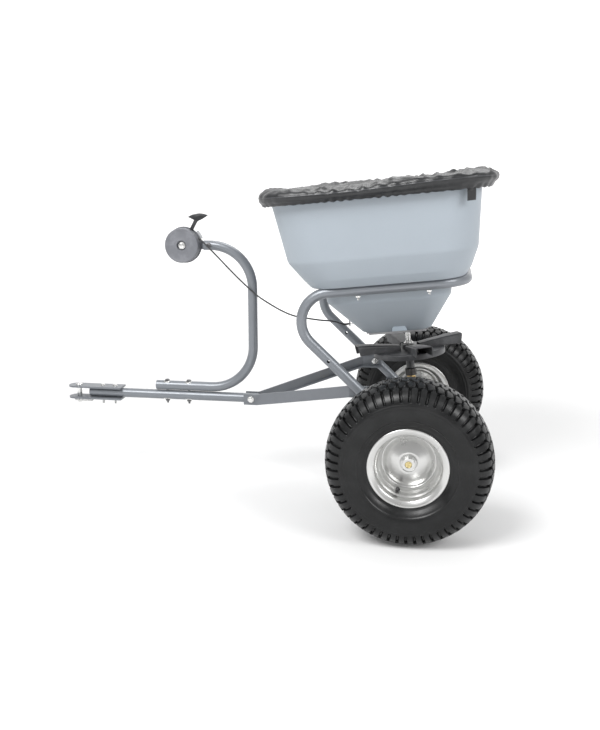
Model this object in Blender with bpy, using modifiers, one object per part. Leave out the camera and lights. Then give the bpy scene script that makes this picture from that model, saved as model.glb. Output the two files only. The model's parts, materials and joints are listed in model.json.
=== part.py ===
"""Tow-behind broadcast spreader: tube frame, hopper with rain cover, spinner, gearbox, wheels and hitch.

The machine stands on its wheels with +X towards the rear and the hitch at -X. The origin is on the
ground, at the middle of the outline. Two empties carry the pieces: ground_frame sits on the ground
under the axle, and deck_frame sits on the axle, tilted with the hopper. Positions called u and w
lie in the deck: u runs rearwards and w up along the spinner shaft.
"""

import math

import bmesh
import bpy
import numpy as np
from mathutils import Matrix, Vector

# Driving dimensions, in metres and degrees.
FIT_GAP = 0.0003
TUBE_DIAMETER = 0.0254
DECK_TILT = 6.0
HITCH_REACH = 0.960

WHEEL_DIAMETER = 0.381
TYRE_WIDTH = 0.150
TYRE_WALL = 0.006
TRACK = 0.692
RIM_FLANGE_RADIUS = 0.0911
RIM_SEAT_RADIUS = 0.0762
RIM_WELL_RADIUS = 0.0645
RIM_HALF_WIDTH = 0.0560
RIM_WALL = 0.0022
HUB_RADIUS = 0.0150
HUB_OUTER_REACH = 0.031
HUB_INNER_REACH = 0.045
AXLE_DIAMETER = 0.0158
AXLE_CLEARANCE = 0.0003
DRIVE_PIN_RADIUS = 0.0022
DRIVE_PIN_INSET = 0.030

FRAME_WIDTH = 0.390
RAIL_HEIGHT = 0.377
LEG_LEAN = 40.7
FRONT_BEND_RADIUS = 0.071
REAR_CROSSBAR = 0.158
REAR_BEND_RADIUS = 0.075
LEG_PAST_AXLE = 0.016
BRACE_BOLT_ALONG_LEG = 0.1665
CROSS_STRAP_ALONG_LEG = 0.095
LEG_HOLE_ALONG_LEG = 0.280

TONGUE_HEIGHT = 0.230
TONGUE_FRONT = -0.898
TONGUE_REAR = -0.420
MOUTH_RECESS = 0.0004
BRACE_BOLT_X = -0.438
BRACE_HEIGHT = 0.028
BRACE_THICKNESS = 0.0045
BRACE_FLANGE = 0.014

ARM_FRONT = -0.705
ARM_UPRIGHT = -0.433
ARM_TOP = 0.640
ARM_TOP_END = -0.563
ARM_LOWER_BEND = 0.115
ARM_UPPER_BEND = 0.110
ARM_BOLTS = (-0.6755, -0.6145)

STRAP_WIDTH = 0.042
STRAP_THICKNESS = 0.005
STRAP_LENGTH = 0.156
HITCH_PIN_X = -0.931
HITCH_PIN_RADIUS = 0.0066
HITCH_BOLTS = (-0.862, -0.827)

HEAD_X = -0.6155
HEAD_RADIUS = 0.045
HEAD_THICKNESS = 0.020
LEVER_LENGTH = 0.083
LEVER_LEAN = 28.4

HOPPER_WALL = 0.003
RIM_HEIGHT = 0.600
FOLD_HEIGHT = 0.455
FLOOR_HEIGHT = 0.253
HOPPER_FRONT = -0.282
HOPPER_REAR = 0.203
HOPPER_HALF_WIDTH = 0.265
HOPPER_LIP = 0.014
COVER_WALL = 0.0025
COVER_PUFF = 0.0275
HOPPER_BOLTS_U = (-0.098, 0.069)

GATE_TRAVEL = 0.042
PORT_LENGTH = 0.036
PORT_FRONT = -0.072
PORT_INNER = 0.014
PORT_OUTER = 0.050
GATE_THICKNESS = 0.0026
GATE_HALF_WIDTH = 0.058

SHAFT_RADIUS = 0.00635
SHAFT_TOP = 0.290
IMPELLER_FLOOR = 0.1915
IMPELLER_RADIUS = 0.137
IMPELLER_DISC_RADIUS = 0.092
VANE_WIDTH = 0.042
VANE_HEIGHT = 0.025
VANE_WALL = 0.0022
VANE_TURN = 19.0

GEAR_TEETH = 30
PINION_TEETH = 10
GEAR_RADIUS = 0.036
GEAR_FACE = 0.0095
GEARBOX_WALL = 0.004
GEARBOX_NECK_TOP = 0.1115

SMALL_BOLT_RADIUS = 0.0031
LARGE_BOLT_RADIUS = 0.0039

# Places that follow from them.
TUBE_RADIUS = TUBE_DIAMETER / 2
WHEEL_RADIUS = WHEEL_DIAMETER / 2
AXLE_RADIUS = AXLE_DIAMETER / 2
AXLE_X = (HITCH_REACH - WHEEL_RADIUS) / 2
FRAME_HALF = FRAME_WIDTH / 2
LEG_DIRECTION = (-math.sin(math.radians(LEG_LEAN)), math.cos(math.radians(LEG_LEAN)))
LEG_FRONT_NORMAL = (-LEG_DIRECTION[1], LEG_DIRECTION[0])
ARM_HEIGHT = TONGUE_HEIGHT + TUBE_DIAMETER + 2 * FIT_GAP
SHELF_HEIGHT = RAIL_HEIGHT + TUBE_RADIUS + FIT_GAP
FUNNEL_HALF_WIDTH = FRAME_HALF - TUBE_RADIUS - 0.004
STRAP_TOP_Z = TONGUE_HEIGHT + TUBE_RADIUS + FIT_GAP
STRAP_BOTTOM_Z = TONGUE_HEIGHT - TUBE_RADIUS - FIT_GAP - STRAP_THICKNESS
GATE_TOP = FLOOR_HEIGHT - 0.0033
FUNNEL_TOP = (-0.180, SHELF_HEIGHT - 0.045)
FUNNEL_FOOT = (-0.110, FLOOR_HEIGHT + 0.003)
PULL_Y = 0.070
PULL_W = FLOOR_HEIGHT + 0.003
PULL_EAR_U = PORT_FRONT - 0.040 - GATE_TRAVEL - 0.0034

# The control cable hangs in one long curve from the control head to its ear in front of the funnel.
# Each point is its share of the way from the head to the ear in x and in z, with its y between them.
CABLE_RADIUS = 0.0017
CABLE_START = (HEAD_X + 0.0434, -0.0205, ARM_TOP + 0.0205)
CABLE_ROUTE = (
    (0.032, -0.0220, 0.046),
    (0.118, -0.0215, 0.189),
    (0.214, -0.0185, 0.358),
    (0.300, -0.0175, 0.499),
    (0.388, -0.0175, 0.628),
    (0.470, -0.0170, 0.720),
    (0.570, -0.0165, 0.812),
    (0.656, -0.0155, 0.866),
    (0.742, -0.0060, 0.896),
    (0.825, 0.0140, 0.927),
    (0.896, 0.0440, 0.957),
)


# ---------------------------------------------------------------- scene, finishes and helpers

def clear_scene():
    """Removes the objects that a new file starts with."""
    for stray in list(bpy.data.objects):
        bpy.data.objects.remove(stray, do_unlink=True)


def new_collection(name):
    """A collection linked to the scene."""
    group = bpy.data.collections.new(name)
    bpy.context.scene.collection.children.link(group)
    return group


def finish(name, colour, roughness, metallic):
    """A Principled material."""
    look = bpy.data.materials.new(name)
    look.use_nodes = True
    shader = look.node_tree.nodes["Principled BSDF"]
    shader.inputs["Base Color"].default_value = (*colour, 1.0)
    shader.inputs["Roughness"].default_value = roughness
    shader.inputs["Metallic"].default_value = metallic
    return look


clear_scene()
PARTS = new_collection("garden_spreader")
CUTTERS = new_collection("cutters")
CUTTERS.hide_render = True

FRAME_PAINT = finish("frame_paint", (0.20, 0.215, 0.235), 0.42, 0.5)
ZINC = finish("zinc_plate", (0.70, 0.70, 0.68), 0.32, 1.0)
YELLOW_ZINC = finish("yellow_zinc", (0.66, 0.55, 0.28), 0.34, 1.0)
RIM_SILVER = finish("rim_silver", (0.74, 0.74, 0.73), 0.30, 0.9)
TYRE_RUBBER = finish("tyre_rubber", (0.045, 0.045, 0.047), 0.78, 0.0)
HOPPER_POLY = finish("hopper_poly", (0.47, 0.53, 0.58), 0.45, 0.0)
COVER_NYLON = finish("cover_nylon", (0.028, 0.029, 0.032), 0.75, 0.0)
BLACK_PLASTIC = finish("black_plastic", (0.035, 0.036, 0.038), 0.45, 0.0)
GREY_PLASTIC = finish("grey_plastic", (0.17, 0.18, 0.20), 0.45, 0.0)
BRASS = finish("brass_bush", (0.72, 0.53, 0.25), 0.35, 1.0)
GEAR_STEEL = finish("gear_steel", (0.34, 0.34, 0.35), 0.40, 1.0)


def empty(name, location, tilt_y=0.0):
    """An empty that carries pieces, turned about Y."""
    frame = bpy.data.objects.new(name, None)
    frame.location = location
    frame.rotation_euler = (0.0, math.radians(tilt_y), 0.0)
    PARTS.objects.link(frame)
    return frame


GROUND = empty("ground_frame", (AXLE_X, 0.0, 0.0))
DECK = empty("deck_frame", (AXLE_X, 0.0, WHEEL_RADIUS), -DECK_TILT)
bpy.context.view_layer.update()


def turn_to(axis):
    """The 4x4 turn that takes +Z to an axis."""
    return Vector((0.0, 0.0, 1.0)).rotation_difference(Vector(axis)).to_matrix().to_4x4()


def placed(name, mesh, look, parent, location=(0.0, 0.0, 0.0), axis=(0.0, 0.0, 1.0), spin=0.0):
    """A sub-part: the mesh's own Z turned to axis, after a turn of spin degrees about it."""
    piece = bpy.data.objects.new(name, mesh)
    mesh.materials.append(look)
    PARTS.objects.link(piece)
    piece.parent = parent
    piece.matrix_basis = (
        Matrix.Translation(location) @ turn_to(axis) @ Matrix.Rotation(math.radians(spin), 4, "Z")
    )
    mesh.shade_smooth()
    mesh.set_sharp_from_angle(angle=math.radians(35))
    return piece


def boolean(piece, operation, name, mesh, parent, location=(0.0, 0.0, 0.0), axis=(0.0, 0.0, 1.0)):
    """Cuts or joins a helper solid with a live Boolean."""
    helper = bpy.data.objects.new(name, mesh)
    CUTTERS.objects.link(helper)
    helper.parent = parent
    helper.matrix_basis = Matrix.Translation(location) @ turn_to(axis)
    helper.hide_render = True
    helper.display_type = "WIRE"
    step = piece.modifiers.new(name, "BOOLEAN")
    step.operation = operation
    step.solver = "EXACT"
    step.object = helper


def cut(piece, name, mesh, parent, location=(0.0, 0.0, 0.0), axis=(0.0, 0.0, 1.0)):
    """Cuts a helper solid out of a piece."""
    boolean(piece, "DIFFERENCE", name, mesh, parent, location, axis)


def join(piece, name, mesh, parent, location=(0.0, 0.0, 0.0), axis=(0.0, 0.0, 1.0)):
    """Joins a helper solid to a piece."""
    boolean(piece, "UNION", name, mesh, parent, location, axis)


def mesh_from(build):
    """A mesh filled by a function that works on a bmesh."""
    work = bmesh.new()
    build(work)
    mesh = bpy.data.meshes.new("shape")
    work.to_mesh(mesh)
    work.free()
    return mesh


def box(low, high):
    """A box between two corners."""
    def build(work):
        bmesh.ops.create_cube(work, size=1.0)
        size = Vector(high) - Vector(low)
        bmesh.ops.scale(work, vec=size, verts=work.verts)
        bmesh.ops.translate(work, vec=(Vector(high) + Vector(low)) / 2, verts=work.verts)
    return mesh_from(build)


def rod(radius, start, end, sides=20):
    """A round bar along Z."""
    def build(work):
        bmesh.ops.create_cone(work, cap_ends=True, segments=sides, radius1=radius, radius2=radius,
                              depth=end - start)
        bmesh.ops.translate(work, vec=(0.0, 0.0, (start + end) / 2), verts=work.verts)
    return mesh_from(build)


def stacked(rings, sides=12):
    """A closed loft of round and hexagonal sections along Z, each (z, radius, "round" or "hex").

    A hexagon's radius is to its flats, and its corners stand out where the ring has points.
    """
    angles = 2 * np.pi * np.arange(sides) / sides
    off_flat = (angles + np.pi / 6) % (np.pi / 3) - np.pi / 6

    def build(work):
        loops = []
        for z, radius, kind in rings:
            reach = radius / np.cos(off_flat) if kind == "hex" else np.full(sides, radius)
            loops.append([work.verts.new((r * math.cos(a), r * math.sin(a), z))
                          for r, a in zip(reach, angles)])
        for lower, upper in zip(loops, loops[1:]):
            for i in range(sides):
                j = (i + 1) % sides
                work.faces.new((lower[i], lower[j], upper[j], upper[i]))
        work.faces.new(loops[0][::-1])
        work.faces.new(loops[-1])
        bmesh.ops.recalc_face_normals(work, faces=work.faces)
    return mesh_from(build)


def turned(name, profile, look, parent, location=(0.0, 0.0, 0.0), axis=(0.0, 0.0, 1.0), steps=32):
    """A ring turned with a Screw modifier from a closed outline of (radius, z) points."""
    points = [Vector((r, 0.0, z)) for r, z in profile]
    area = sum(a.x * b.z - b.x * a.z for a, b in zip(points, points[1:] + points[:1]))
    if area > 0:
        points.reverse()
    mesh = bpy.data.meshes.new(name)
    count = len(points)
    mesh.from_pydata(points, [(i, (i + 1) % count) for i in range(count)], [])
    piece = placed(name, mesh, look, parent, location, axis)
    screw = piece.modifiers.new("Turn", "SCREW")
    screw.steps = steps
    screw.render_steps = steps
    screw.use_merge_vertices = True
    screw.merge_threshold = 0.00001
    screw.use_smooth_shade = True
    return piece


def rounded_path(points, radii, turns_per_circle=28):
    """A polyline whose inner corners are arcs of the given radii."""
    corners = [Vector(p) for p in points]
    path = [corners[0]]
    for before, corner, after, radius in zip(corners, corners[1:], corners[2:], radii):
        arriving = (corner - before).normalized()
        leaving = (after - corner).normalized()
        angle = arriving.angle(leaving)
        side = (leaving - arriving * arriving.dot(leaving)).normalized()
        start = corner - arriving * radius * math.tan(angle / 2)
        count = max(3, round(turns_per_circle * angle / (2 * math.pi)))
        for i in range(count + 1):
            a = angle * i / count
            path.append(start + arriving * radius * math.sin(a) + side * radius * (1 - math.cos(a)))
    path.append(corners[-1])
    return path


def smooth_path(points, pieces):
    """Points along a smooth curve through a route, by Catmull-Rom pieces."""
    route = [Vector(p) for p in points]
    ends = [2 * route[0] - route[1], *route, 2 * route[-1] - route[-2]]
    path = []
    for a, b, c, d in zip(ends, ends[1:], ends[2:], ends[3:]):
        for i in range(pieces):
            t = i / pieces
            path.append(0.5 * (2 * b + (c - a) * t + (2 * a - 5 * b + 4 * c - d) * t ** 2
                               + (3 * b - a - 3 * c + d) * t ** 3))
    path.append(route[-1])
    return path


def tube_mesh(path, radius, resolution=3):
    """A round bar or tube along a path, as a welded mesh."""
    curve = bpy.data.curves.new("path", "CURVE")
    curve.dimensions = "3D"
    curve.bevel_depth = radius
    curve.bevel_resolution = resolution
    curve.use_fill_caps = True
    spline = curve.splines.new("POLY")
    spline.points.add(len(path) - 1)
    for point, place in zip(spline.points, path):
        point.co = (*place, 1.0)
    guide = bpy.data.objects.new("path", curve)
    PARTS.objects.link(guide)
    bpy.context.view_layer.update()
    mesh = bpy.data.meshes.new_from_object(guide.evaluated_get(bpy.context.evaluated_depsgraph_get()))
    bpy.data.objects.remove(guide, do_unlink=True)
    work = bmesh.new()
    work.from_mesh(mesh)
    bmesh.ops.remove_doubles(work, verts=work.verts, dist=0.00001)
    work.to_mesh(mesh)
    work.free()
    return mesh


def plate_mesh(outline, low, high):
    """A flat outline in XY, filled between two heights."""
    curve = bpy.data.curves.new("outline", "CURVE")
    curve.dimensions = "2D"
    curve.fill_mode = "BOTH"
    curve.extrude = (high - low) / 2
    spline = curve.splines.new("POLY")
    spline.points.add(len(outline) - 1)
    for point, (x, y) in zip(spline.points, outline):
        point.co = (x, y, 0.0, 1.0)
    spline.use_cyclic_u = True
    guide = bpy.data.objects.new("outline", curve)
    PARTS.objects.link(guide)
    bpy.context.view_layer.update()
    mesh = bpy.data.meshes.new_from_object(guide.evaluated_get(bpy.context.evaluated_depsgraph_get()))
    bpy.data.objects.remove(guide, do_unlink=True)
    work = bmesh.new()
    work.from_mesh(mesh)
    bmesh.ops.remove_doubles(work, verts=work.verts, dist=0.00001)
    bmesh.ops.translate(work, vec=(0.0, 0.0, (low + high) / 2), verts=work.verts)
    work.to_mesh(mesh)
    work.free()
    return mesh


def side_plate_mesh(outline, low_y, high_y):
    """An outline of (x, z) points, filled between two places along Y."""
    mesh = plate_mesh(outline, -high_y, -low_y)
    mesh.transform(Matrix.Rotation(math.radians(90), 4, "X"))
    return mesh


def rounded_ring(low_x, high_x, half_y, corner, z, per_corner=3):
    """Points round a rectangle with round corners, the same count for every size."""
    points = []
    centres = ((high_x - corner, half_y - corner, 0), (low_x + corner, half_y - corner, 90),
               (low_x + corner, corner - half_y, 180), (high_x - corner, corner - half_y, 270))
    for x, y, start in centres:
        for i in range(per_corner + 1):
            a = math.radians(start + 90 * i / per_corner)
            points.append((x + corner * math.cos(a), y + corner * math.sin(a), z))
    return points


def bowl_mesh(rings):
    """An open shell through rings, listed from the open edge to the ring that a flat face closes."""
    def build(work):
        loops = [[work.verts.new(p) for p in ring] for ring in rings]
        count = len(loops[0])
        for upper, lower in zip(loops, loops[1:]):
            for i in range(count):
                j = (i + 1) % count
                work.faces.new((upper[i], lower[i], lower[j], upper[j]))
        work.faces.new(loops[-1][::-1])
    return mesh_from(build)


def walled(piece, thickness, offset):
    """Gives an open shell its wall; offset -1 grows it inwards and 1 outwards."""
    wall = piece.modifiers.new("Wall", "SOLIDIFY")
    wall.thickness = thickness
    wall.offset = offset


def bolt(name, look, parent, location, axis, radius, grip, tail):
    """A hexagon bolt with its nut: head on the near side, grip between the seats, tail past the nut.

    The location is the head's seat, and axis points from the head to the nut.
    """
    flats = 1.75 * radius
    deep = 1.45 * radius
    top = grip + deep
    mesh = stacked([(-deep, flats, "hex"), (-FIT_GAP, flats, "hex"), (-FIT_GAP, radius, "round"),
                    (grip + FIT_GAP, radius, "round"), (grip + FIT_GAP, flats, "hex"),
                    (top, flats, "hex"), (top, radius, "round"), (top + tail, radius, "round")])
    return placed(name, mesh, look, parent, location, axis)


def bolt_hole(piece, name, parent, location, axis, radius, length):
    """Clearance for a bolt, from its head's seat on."""
    cut(piece, name, rod(radius + FIT_GAP, -0.004, length + 0.004, 16), parent, location, axis)


def on_leg(along, ahead):
    """The (u, w) of a point on the leg's line, so far along it from the axle and ahead of it."""
    return (LEG_DIRECTION[0] * along + LEG_FRONT_NORMAL[0] * ahead,
            LEG_DIRECTION[1] * along + LEG_FRONT_NORMAL[1] * ahead)


def deck_to_ground(u, y, w):
    """A deck position in ground_frame."""
    tilt = math.radians(DECK_TILT)
    return Vector((u * math.cos(tilt) - w * math.sin(tilt), y,
                   WHEEL_RADIUS + u * math.sin(tilt) + w * math.cos(tilt)))


# ---------------------------------------------------------------- frame

def build_frame():
    """The bent tube that carries the hopper, with its bearings and the strap across its legs."""
    front = RAIL_HEIGHT * LEG_DIRECTION[0] / LEG_DIRECTION[1]
    end_u, end_w = on_leg(-LEG_PAST_AXLE, 0.0)
    corners = [(end_u, -FRAME_HALF, end_w), (front, -FRAME_HALF, RAIL_HEIGHT),
               (REAR_CROSSBAR, -FRAME_HALF, RAIL_HEIGHT), (REAR_CROSSBAR, FRAME_HALF, RAIL_HEIGHT),
               (front, FRAME_HALF, RAIL_HEIGHT), (end_u, FRAME_HALF, end_w)]
    radii = (FRONT_BEND_RADIUS, REAR_BEND_RADIUS, REAR_BEND_RADIUS, FRONT_BEND_RADIUS)
    tube = placed("frame_tube", tube_mesh(rounded_path(corners, radii), TUBE_RADIUS), FRAME_PAINT, DECK)

    bush_outer = AXLE_RADIUS + AXLE_CLEARANCE + 0.0014
    hole_u, hole_w = on_leg(LEG_HOLE_ALONG_LEG, 0.0)
    for side, name in ((-1, "near"), (1, "far")):
        y = side * FRAME_HALF
        cut(tube, f"bearing_hole_{name}", rod(bush_outer + FIT_GAP, -0.02, 0.02, 24), DECK,
            (0.0, y, 0.0), (0.0, 1.0, 0.0))
        cut(tube, f"leg_hole_{name}", rod(0.004, -0.02, 0.02, 12), DECK,
            (hole_u, y, hole_w), (0.0, 1.0, 0.0))
        inner = -TUBE_RADIUS
        flange = TUBE_RADIUS + FIT_GAP
        bore = AXLE_RADIUS + AXLE_CLEARANCE
        turned(f"axle_bearing_{name}",
               [(bore, inner), (bush_outer, inner), (bush_outer, flange), (bush_outer + 0.0035, flange),
                (bush_outer + 0.0035, flange + 0.003), (bore, flange + 0.003)],
               BLACK_PLASTIC, DECK, (0.0, y, 0.0), (0.0, side, 0.0), 24)

    thickness = 0.004
    middle_u, middle_w = on_leg(CROSS_STRAP_ALONG_LEG, TUBE_RADIUS + FIT_GAP + thickness / 2)
    axis = (LEG_FRONT_NORMAL[0], 0.0, LEG_FRONT_NORMAL[1])
    reach = FRAME_HALF + TUBE_RADIUS
    strap = placed("cross_strap", box((-0.0125, -reach, -thickness / 2), (0.0125, reach, thickness / 2)),
                   FRAME_PAINT, DECK, (middle_u, 0.0, middle_w), axis)
    seat_u, seat_w = on_leg(CROSS_STRAP_ALONG_LEG, TUBE_RADIUS + FIT_GAP + thickness + FIT_GAP)
    inwards = tuple(-part for part in axis)
    bolt_hole(strap, "gearbox_bolt_hole", DECK, (seat_u, 0.0, seat_w), inwards, SMALL_BOLT_RADIUS, 0.010)
    shank = 0.014
    screw = stacked([(-0.0045, 0.0055, "hex"), (-FIT_GAP, 0.0055, "hex"),
                     (-FIT_GAP, SMALL_BOLT_RADIUS, "round"), (shank, SMALL_BOLT_RADIUS, "round")])
    placed("gearbox_bolt", screw, ZINC, DECK, (seat_u, 0.0, seat_w), inwards)
    return tube


def build_braces(frame_tube):
    """The two flat braces from the tongue to the legs, with their bolts."""
    u, w = on_leg(BRACE_BOLT_ALONG_LEG, 0.0)
    inner_face = FRAME_HALF - TUBE_RADIUS - FIT_GAP
    leg_point = deck_to_ground(u, 0.0, w)
    near_tongue = TUBE_RADIUS + FIT_GAP + BRACE_THICKNESS / 2
    near_leg = inner_face - BRACE_THICKNESS / 2
    for side, name in ((-1, "near"), (1, "far")):
        stations = ((BRACE_BOLT_X - 0.020, near_tongue, 0.0), (BRACE_BOLT_X + 0.016, near_tongue, 0.0),
                    (leg_point.x - 0.034, near_leg, 1.0), (leg_point.x + 0.018, near_leg, 1.0))

        def build(work, side=side, stations=stations):
            rows = []
            for x, y, share in stations:
                middle = TONGUE_HEIGHT + (leg_point.z - TONGUE_HEIGHT) * share
                flange = BRACE_FLANGE * share + 0.002
                rows.append([work.verts.new((x, side * y, middle + BRACE_HEIGHT / 2)),
                             work.verts.new((x, side * y, middle - BRACE_HEIGHT / 2)),
                             work.verts.new((x, side * (y - flange), middle - BRACE_HEIGHT / 2))])
            for first, second in zip(rows, rows[1:]):
                for i in range(2):
                    work.faces.new((first[i], second[i], second[i + 1], first[i + 1]))

        brace = placed(f"brace_{name}", mesh_from(build), FRAME_PAINT, GROUND)
        walled(brace, BRACE_THICKNESS, 0.0)
        across = (0.0, side, 0.0)
        bolt_hole(brace, f"tongue_hole_{name}", GROUND, (BRACE_BOLT_X, 0.0, TONGUE_HEIGHT), across,
                  LARGE_BOLT_RADIUS, near_tongue + 0.004)
        seat = inner_face - BRACE_THICKNESS - FIT_GAP
        grip = TUBE_DIAMETER + BRACE_THICKNESS + 3 * FIT_GAP
        place = (leg_point.x, side * seat, leg_point.z)
        bolt_hole(brace, f"leg_hole_brace_{name}", GROUND, place, across, LARGE_BOLT_RADIUS, grip)
        bolt_hole(frame_tube, f"brace_hole_{name}", GROUND, place, across, LARGE_BOLT_RADIUS, grip)
        bolt(f"brace_bolt_{name}", ZINC, GROUND, place, across, LARGE_BOLT_RADIUS, grip, 0.003)


# ---------------------------------------------------------------- tongue, hitch and arm

def build_tongue():
    """The drawbar tube with the bolt that holds the braces."""
    tube = placed("tongue_tube", rod(TUBE_RADIUS, TONGUE_FRONT, TONGUE_REAR, 24), FRAME_PAINT, GROUND,
                  (0.0, 0.0, TONGUE_HEIGHT), (1.0, 0.0, 0.0))
    half = TUBE_RADIUS + BRACE_THICKNESS + 2 * FIT_GAP
    bolt_hole(tube, "tongue_brace_hole", GROUND, (BRACE_BOLT_X, -half, TONGUE_HEIGHT), (0.0, 1.0, 0.0),
              LARGE_BOLT_RADIUS, 2 * half)
    bolt("tongue_brace_bolt", ZINC, GROUND, (BRACE_BOLT_X, -half, TONGUE_HEIGHT), (0.0, 1.0, 0.0),
         LARGE_BOLT_RADIUS, 2 * half, 0.004)
    return tube


def strap_outline():
    """A flat bar with a round front end, in ground_frame's x and y."""
    half = STRAP_WIDTH / 2
    front = -HITCH_REACH
    outline = [(front + STRAP_LENGTH, -half), (front + STRAP_LENGTH, half)]
    for i in range(9):
        a = math.radians(90 + 180 * i / 8)
        outline.append((front + half + half * math.cos(a), half * math.sin(a)))
    return outline


def build_hitch(tongue):
    """Two straps bolted to the tongue's front end, with the drawbar pin and its hairpin.

    Ahead of the tongue the straps' inner faces are pressed a little deeper, as seats for the towing plate.
    """
    top_of_straps = STRAP_TOP_Z + STRAP_THICKNESS
    straps = []
    for name, low, inner in (("top", STRAP_TOP_Z, STRAP_TOP_Z),
                             ("bottom", STRAP_BOTTOM_Z, STRAP_BOTTOM_Z + STRAP_THICKNESS)):
        mesh = plate_mesh(strap_outline(), low, low + STRAP_THICKNESS)
        strap = placed(f"hitch_strap_{name}", mesh, FRAME_PAINT, GROUND)
        mouth = box((HITCH_PIN_X - 0.05, -0.03, inner - MOUTH_RECESS),
                    (TONGUE_FRONT - 2 * FIT_GAP, 0.03, inner + MOUTH_RECESS))
        cut(strap, f"mouth_recess_{name}", mouth, GROUND)
        cut(strap, f"pin_hole_{name}", rod(HITCH_PIN_RADIUS + 0.0006, -0.01, 0.01, 20), GROUND,
            (HITCH_PIN_X, 0.0, low), (0.0, 0.0, 1.0))
        straps.append(strap)
    grip = top_of_straps - STRAP_BOTTOM_Z
    for x, name in zip(HITCH_BOLTS, ("front", "rear")):
        seat = (x, 0.0, top_of_straps)
        for piece in (*straps, tongue):
            bolt_hole(piece, f"{piece.name}_{name}_hole", GROUND, seat, (0.0, 0.0, -1.0),
                      SMALL_BOLT_RADIUS, grip)
        bolt(f"hitch_bolt_{name}", ZINC, GROUND, seat, (0.0, 0.0, -1.0), SMALL_BOLT_RADIUS, grip, 0.010)

    pin_length = grip + 0.0135
    pin = placed("hitch_pin",
                 stacked([(-0.0035, 0.0085, "round"), (-FIT_GAP, 0.0095, "round"),
                          (-FIT_GAP, HITCH_PIN_RADIUS, "round"),
                          (pin_length - 0.002, HITCH_PIN_RADIUS, "round"),
                          (pin_length, HITCH_PIN_RADIUS - 0.0015, "round")], 20),
                 ZINC, GROUND, (HITCH_PIN_X, 0.0, top_of_straps), (0.0, 0.0, -1.0))
    wire = 0.0012
    wire_z = STRAP_BOTTOM_Z - 0.0065
    cut(pin, "hairpin_hole", rod(wire + FIT_GAP, -0.02, 0.02, 12), GROUND,
        (HITCH_PIN_X, 0.0, wire_z), (1.0, 0.0, 0.0))
    outside = -(HITCH_PIN_RADIUS + wire + FIT_GAP)
    route = [(HITCH_PIN_X - 0.016, 0.0, wire_z), (HITCH_PIN_X + 0.040, 0.0, wire_z),
             (HITCH_PIN_X + 0.040, outside - 0.002, wire_z), (HITCH_PIN_X + 0.010, outside - 0.002, wire_z),
             (HITCH_PIN_X - 0.002, outside, wire_z), (HITCH_PIN_X - 0.010, outside - 0.003, wire_z)]
    placed("hairpin", tube_mesh(rounded_path(route, (0.0045, 0.0045, 0.004, 0.004), 20), wire, 2), ZINC,
           GROUND)


def build_arm(tongue):
    """The C-shaped tube that holds the control head, bolted on top of the tongue."""
    corners = [(ARM_FRONT, 0.0, ARM_HEIGHT), (ARM_UPRIGHT, 0.0, ARM_HEIGHT),
               (ARM_UPRIGHT, 0.0, ARM_TOP), (ARM_TOP_END, 0.0, ARM_TOP)]
    arm = placed("control_arm",
                 tube_mesh(rounded_path(corners, (ARM_LOWER_BEND, ARM_UPPER_BEND)), TUBE_RADIUS),
                 FRAME_PAINT, GROUND)
    seat_z = ARM_HEIGHT + TUBE_RADIUS + FIT_GAP
    grip = seat_z - (TONGUE_HEIGHT - TUBE_RADIUS - FIT_GAP)
    for x, name in zip(ARM_BOLTS, ("front", "rear")):
        seat = (x, 0.0, seat_z)
        for piece in (arm, tongue):
            bolt_hole(piece, f"{piece.name}_arm_hole_{name}", GROUND, seat, (0.0, 0.0, -1.0),
                      SMALL_BOLT_RADIUS, grip)
        bolt(f"arm_bolt_{name}", ZINC, GROUND, seat, (0.0, 0.0, -1.0), SMALL_BOLT_RADIUS, grip, 0.006)
    return arm


# ---------------------------------------------------------------- control head

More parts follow.
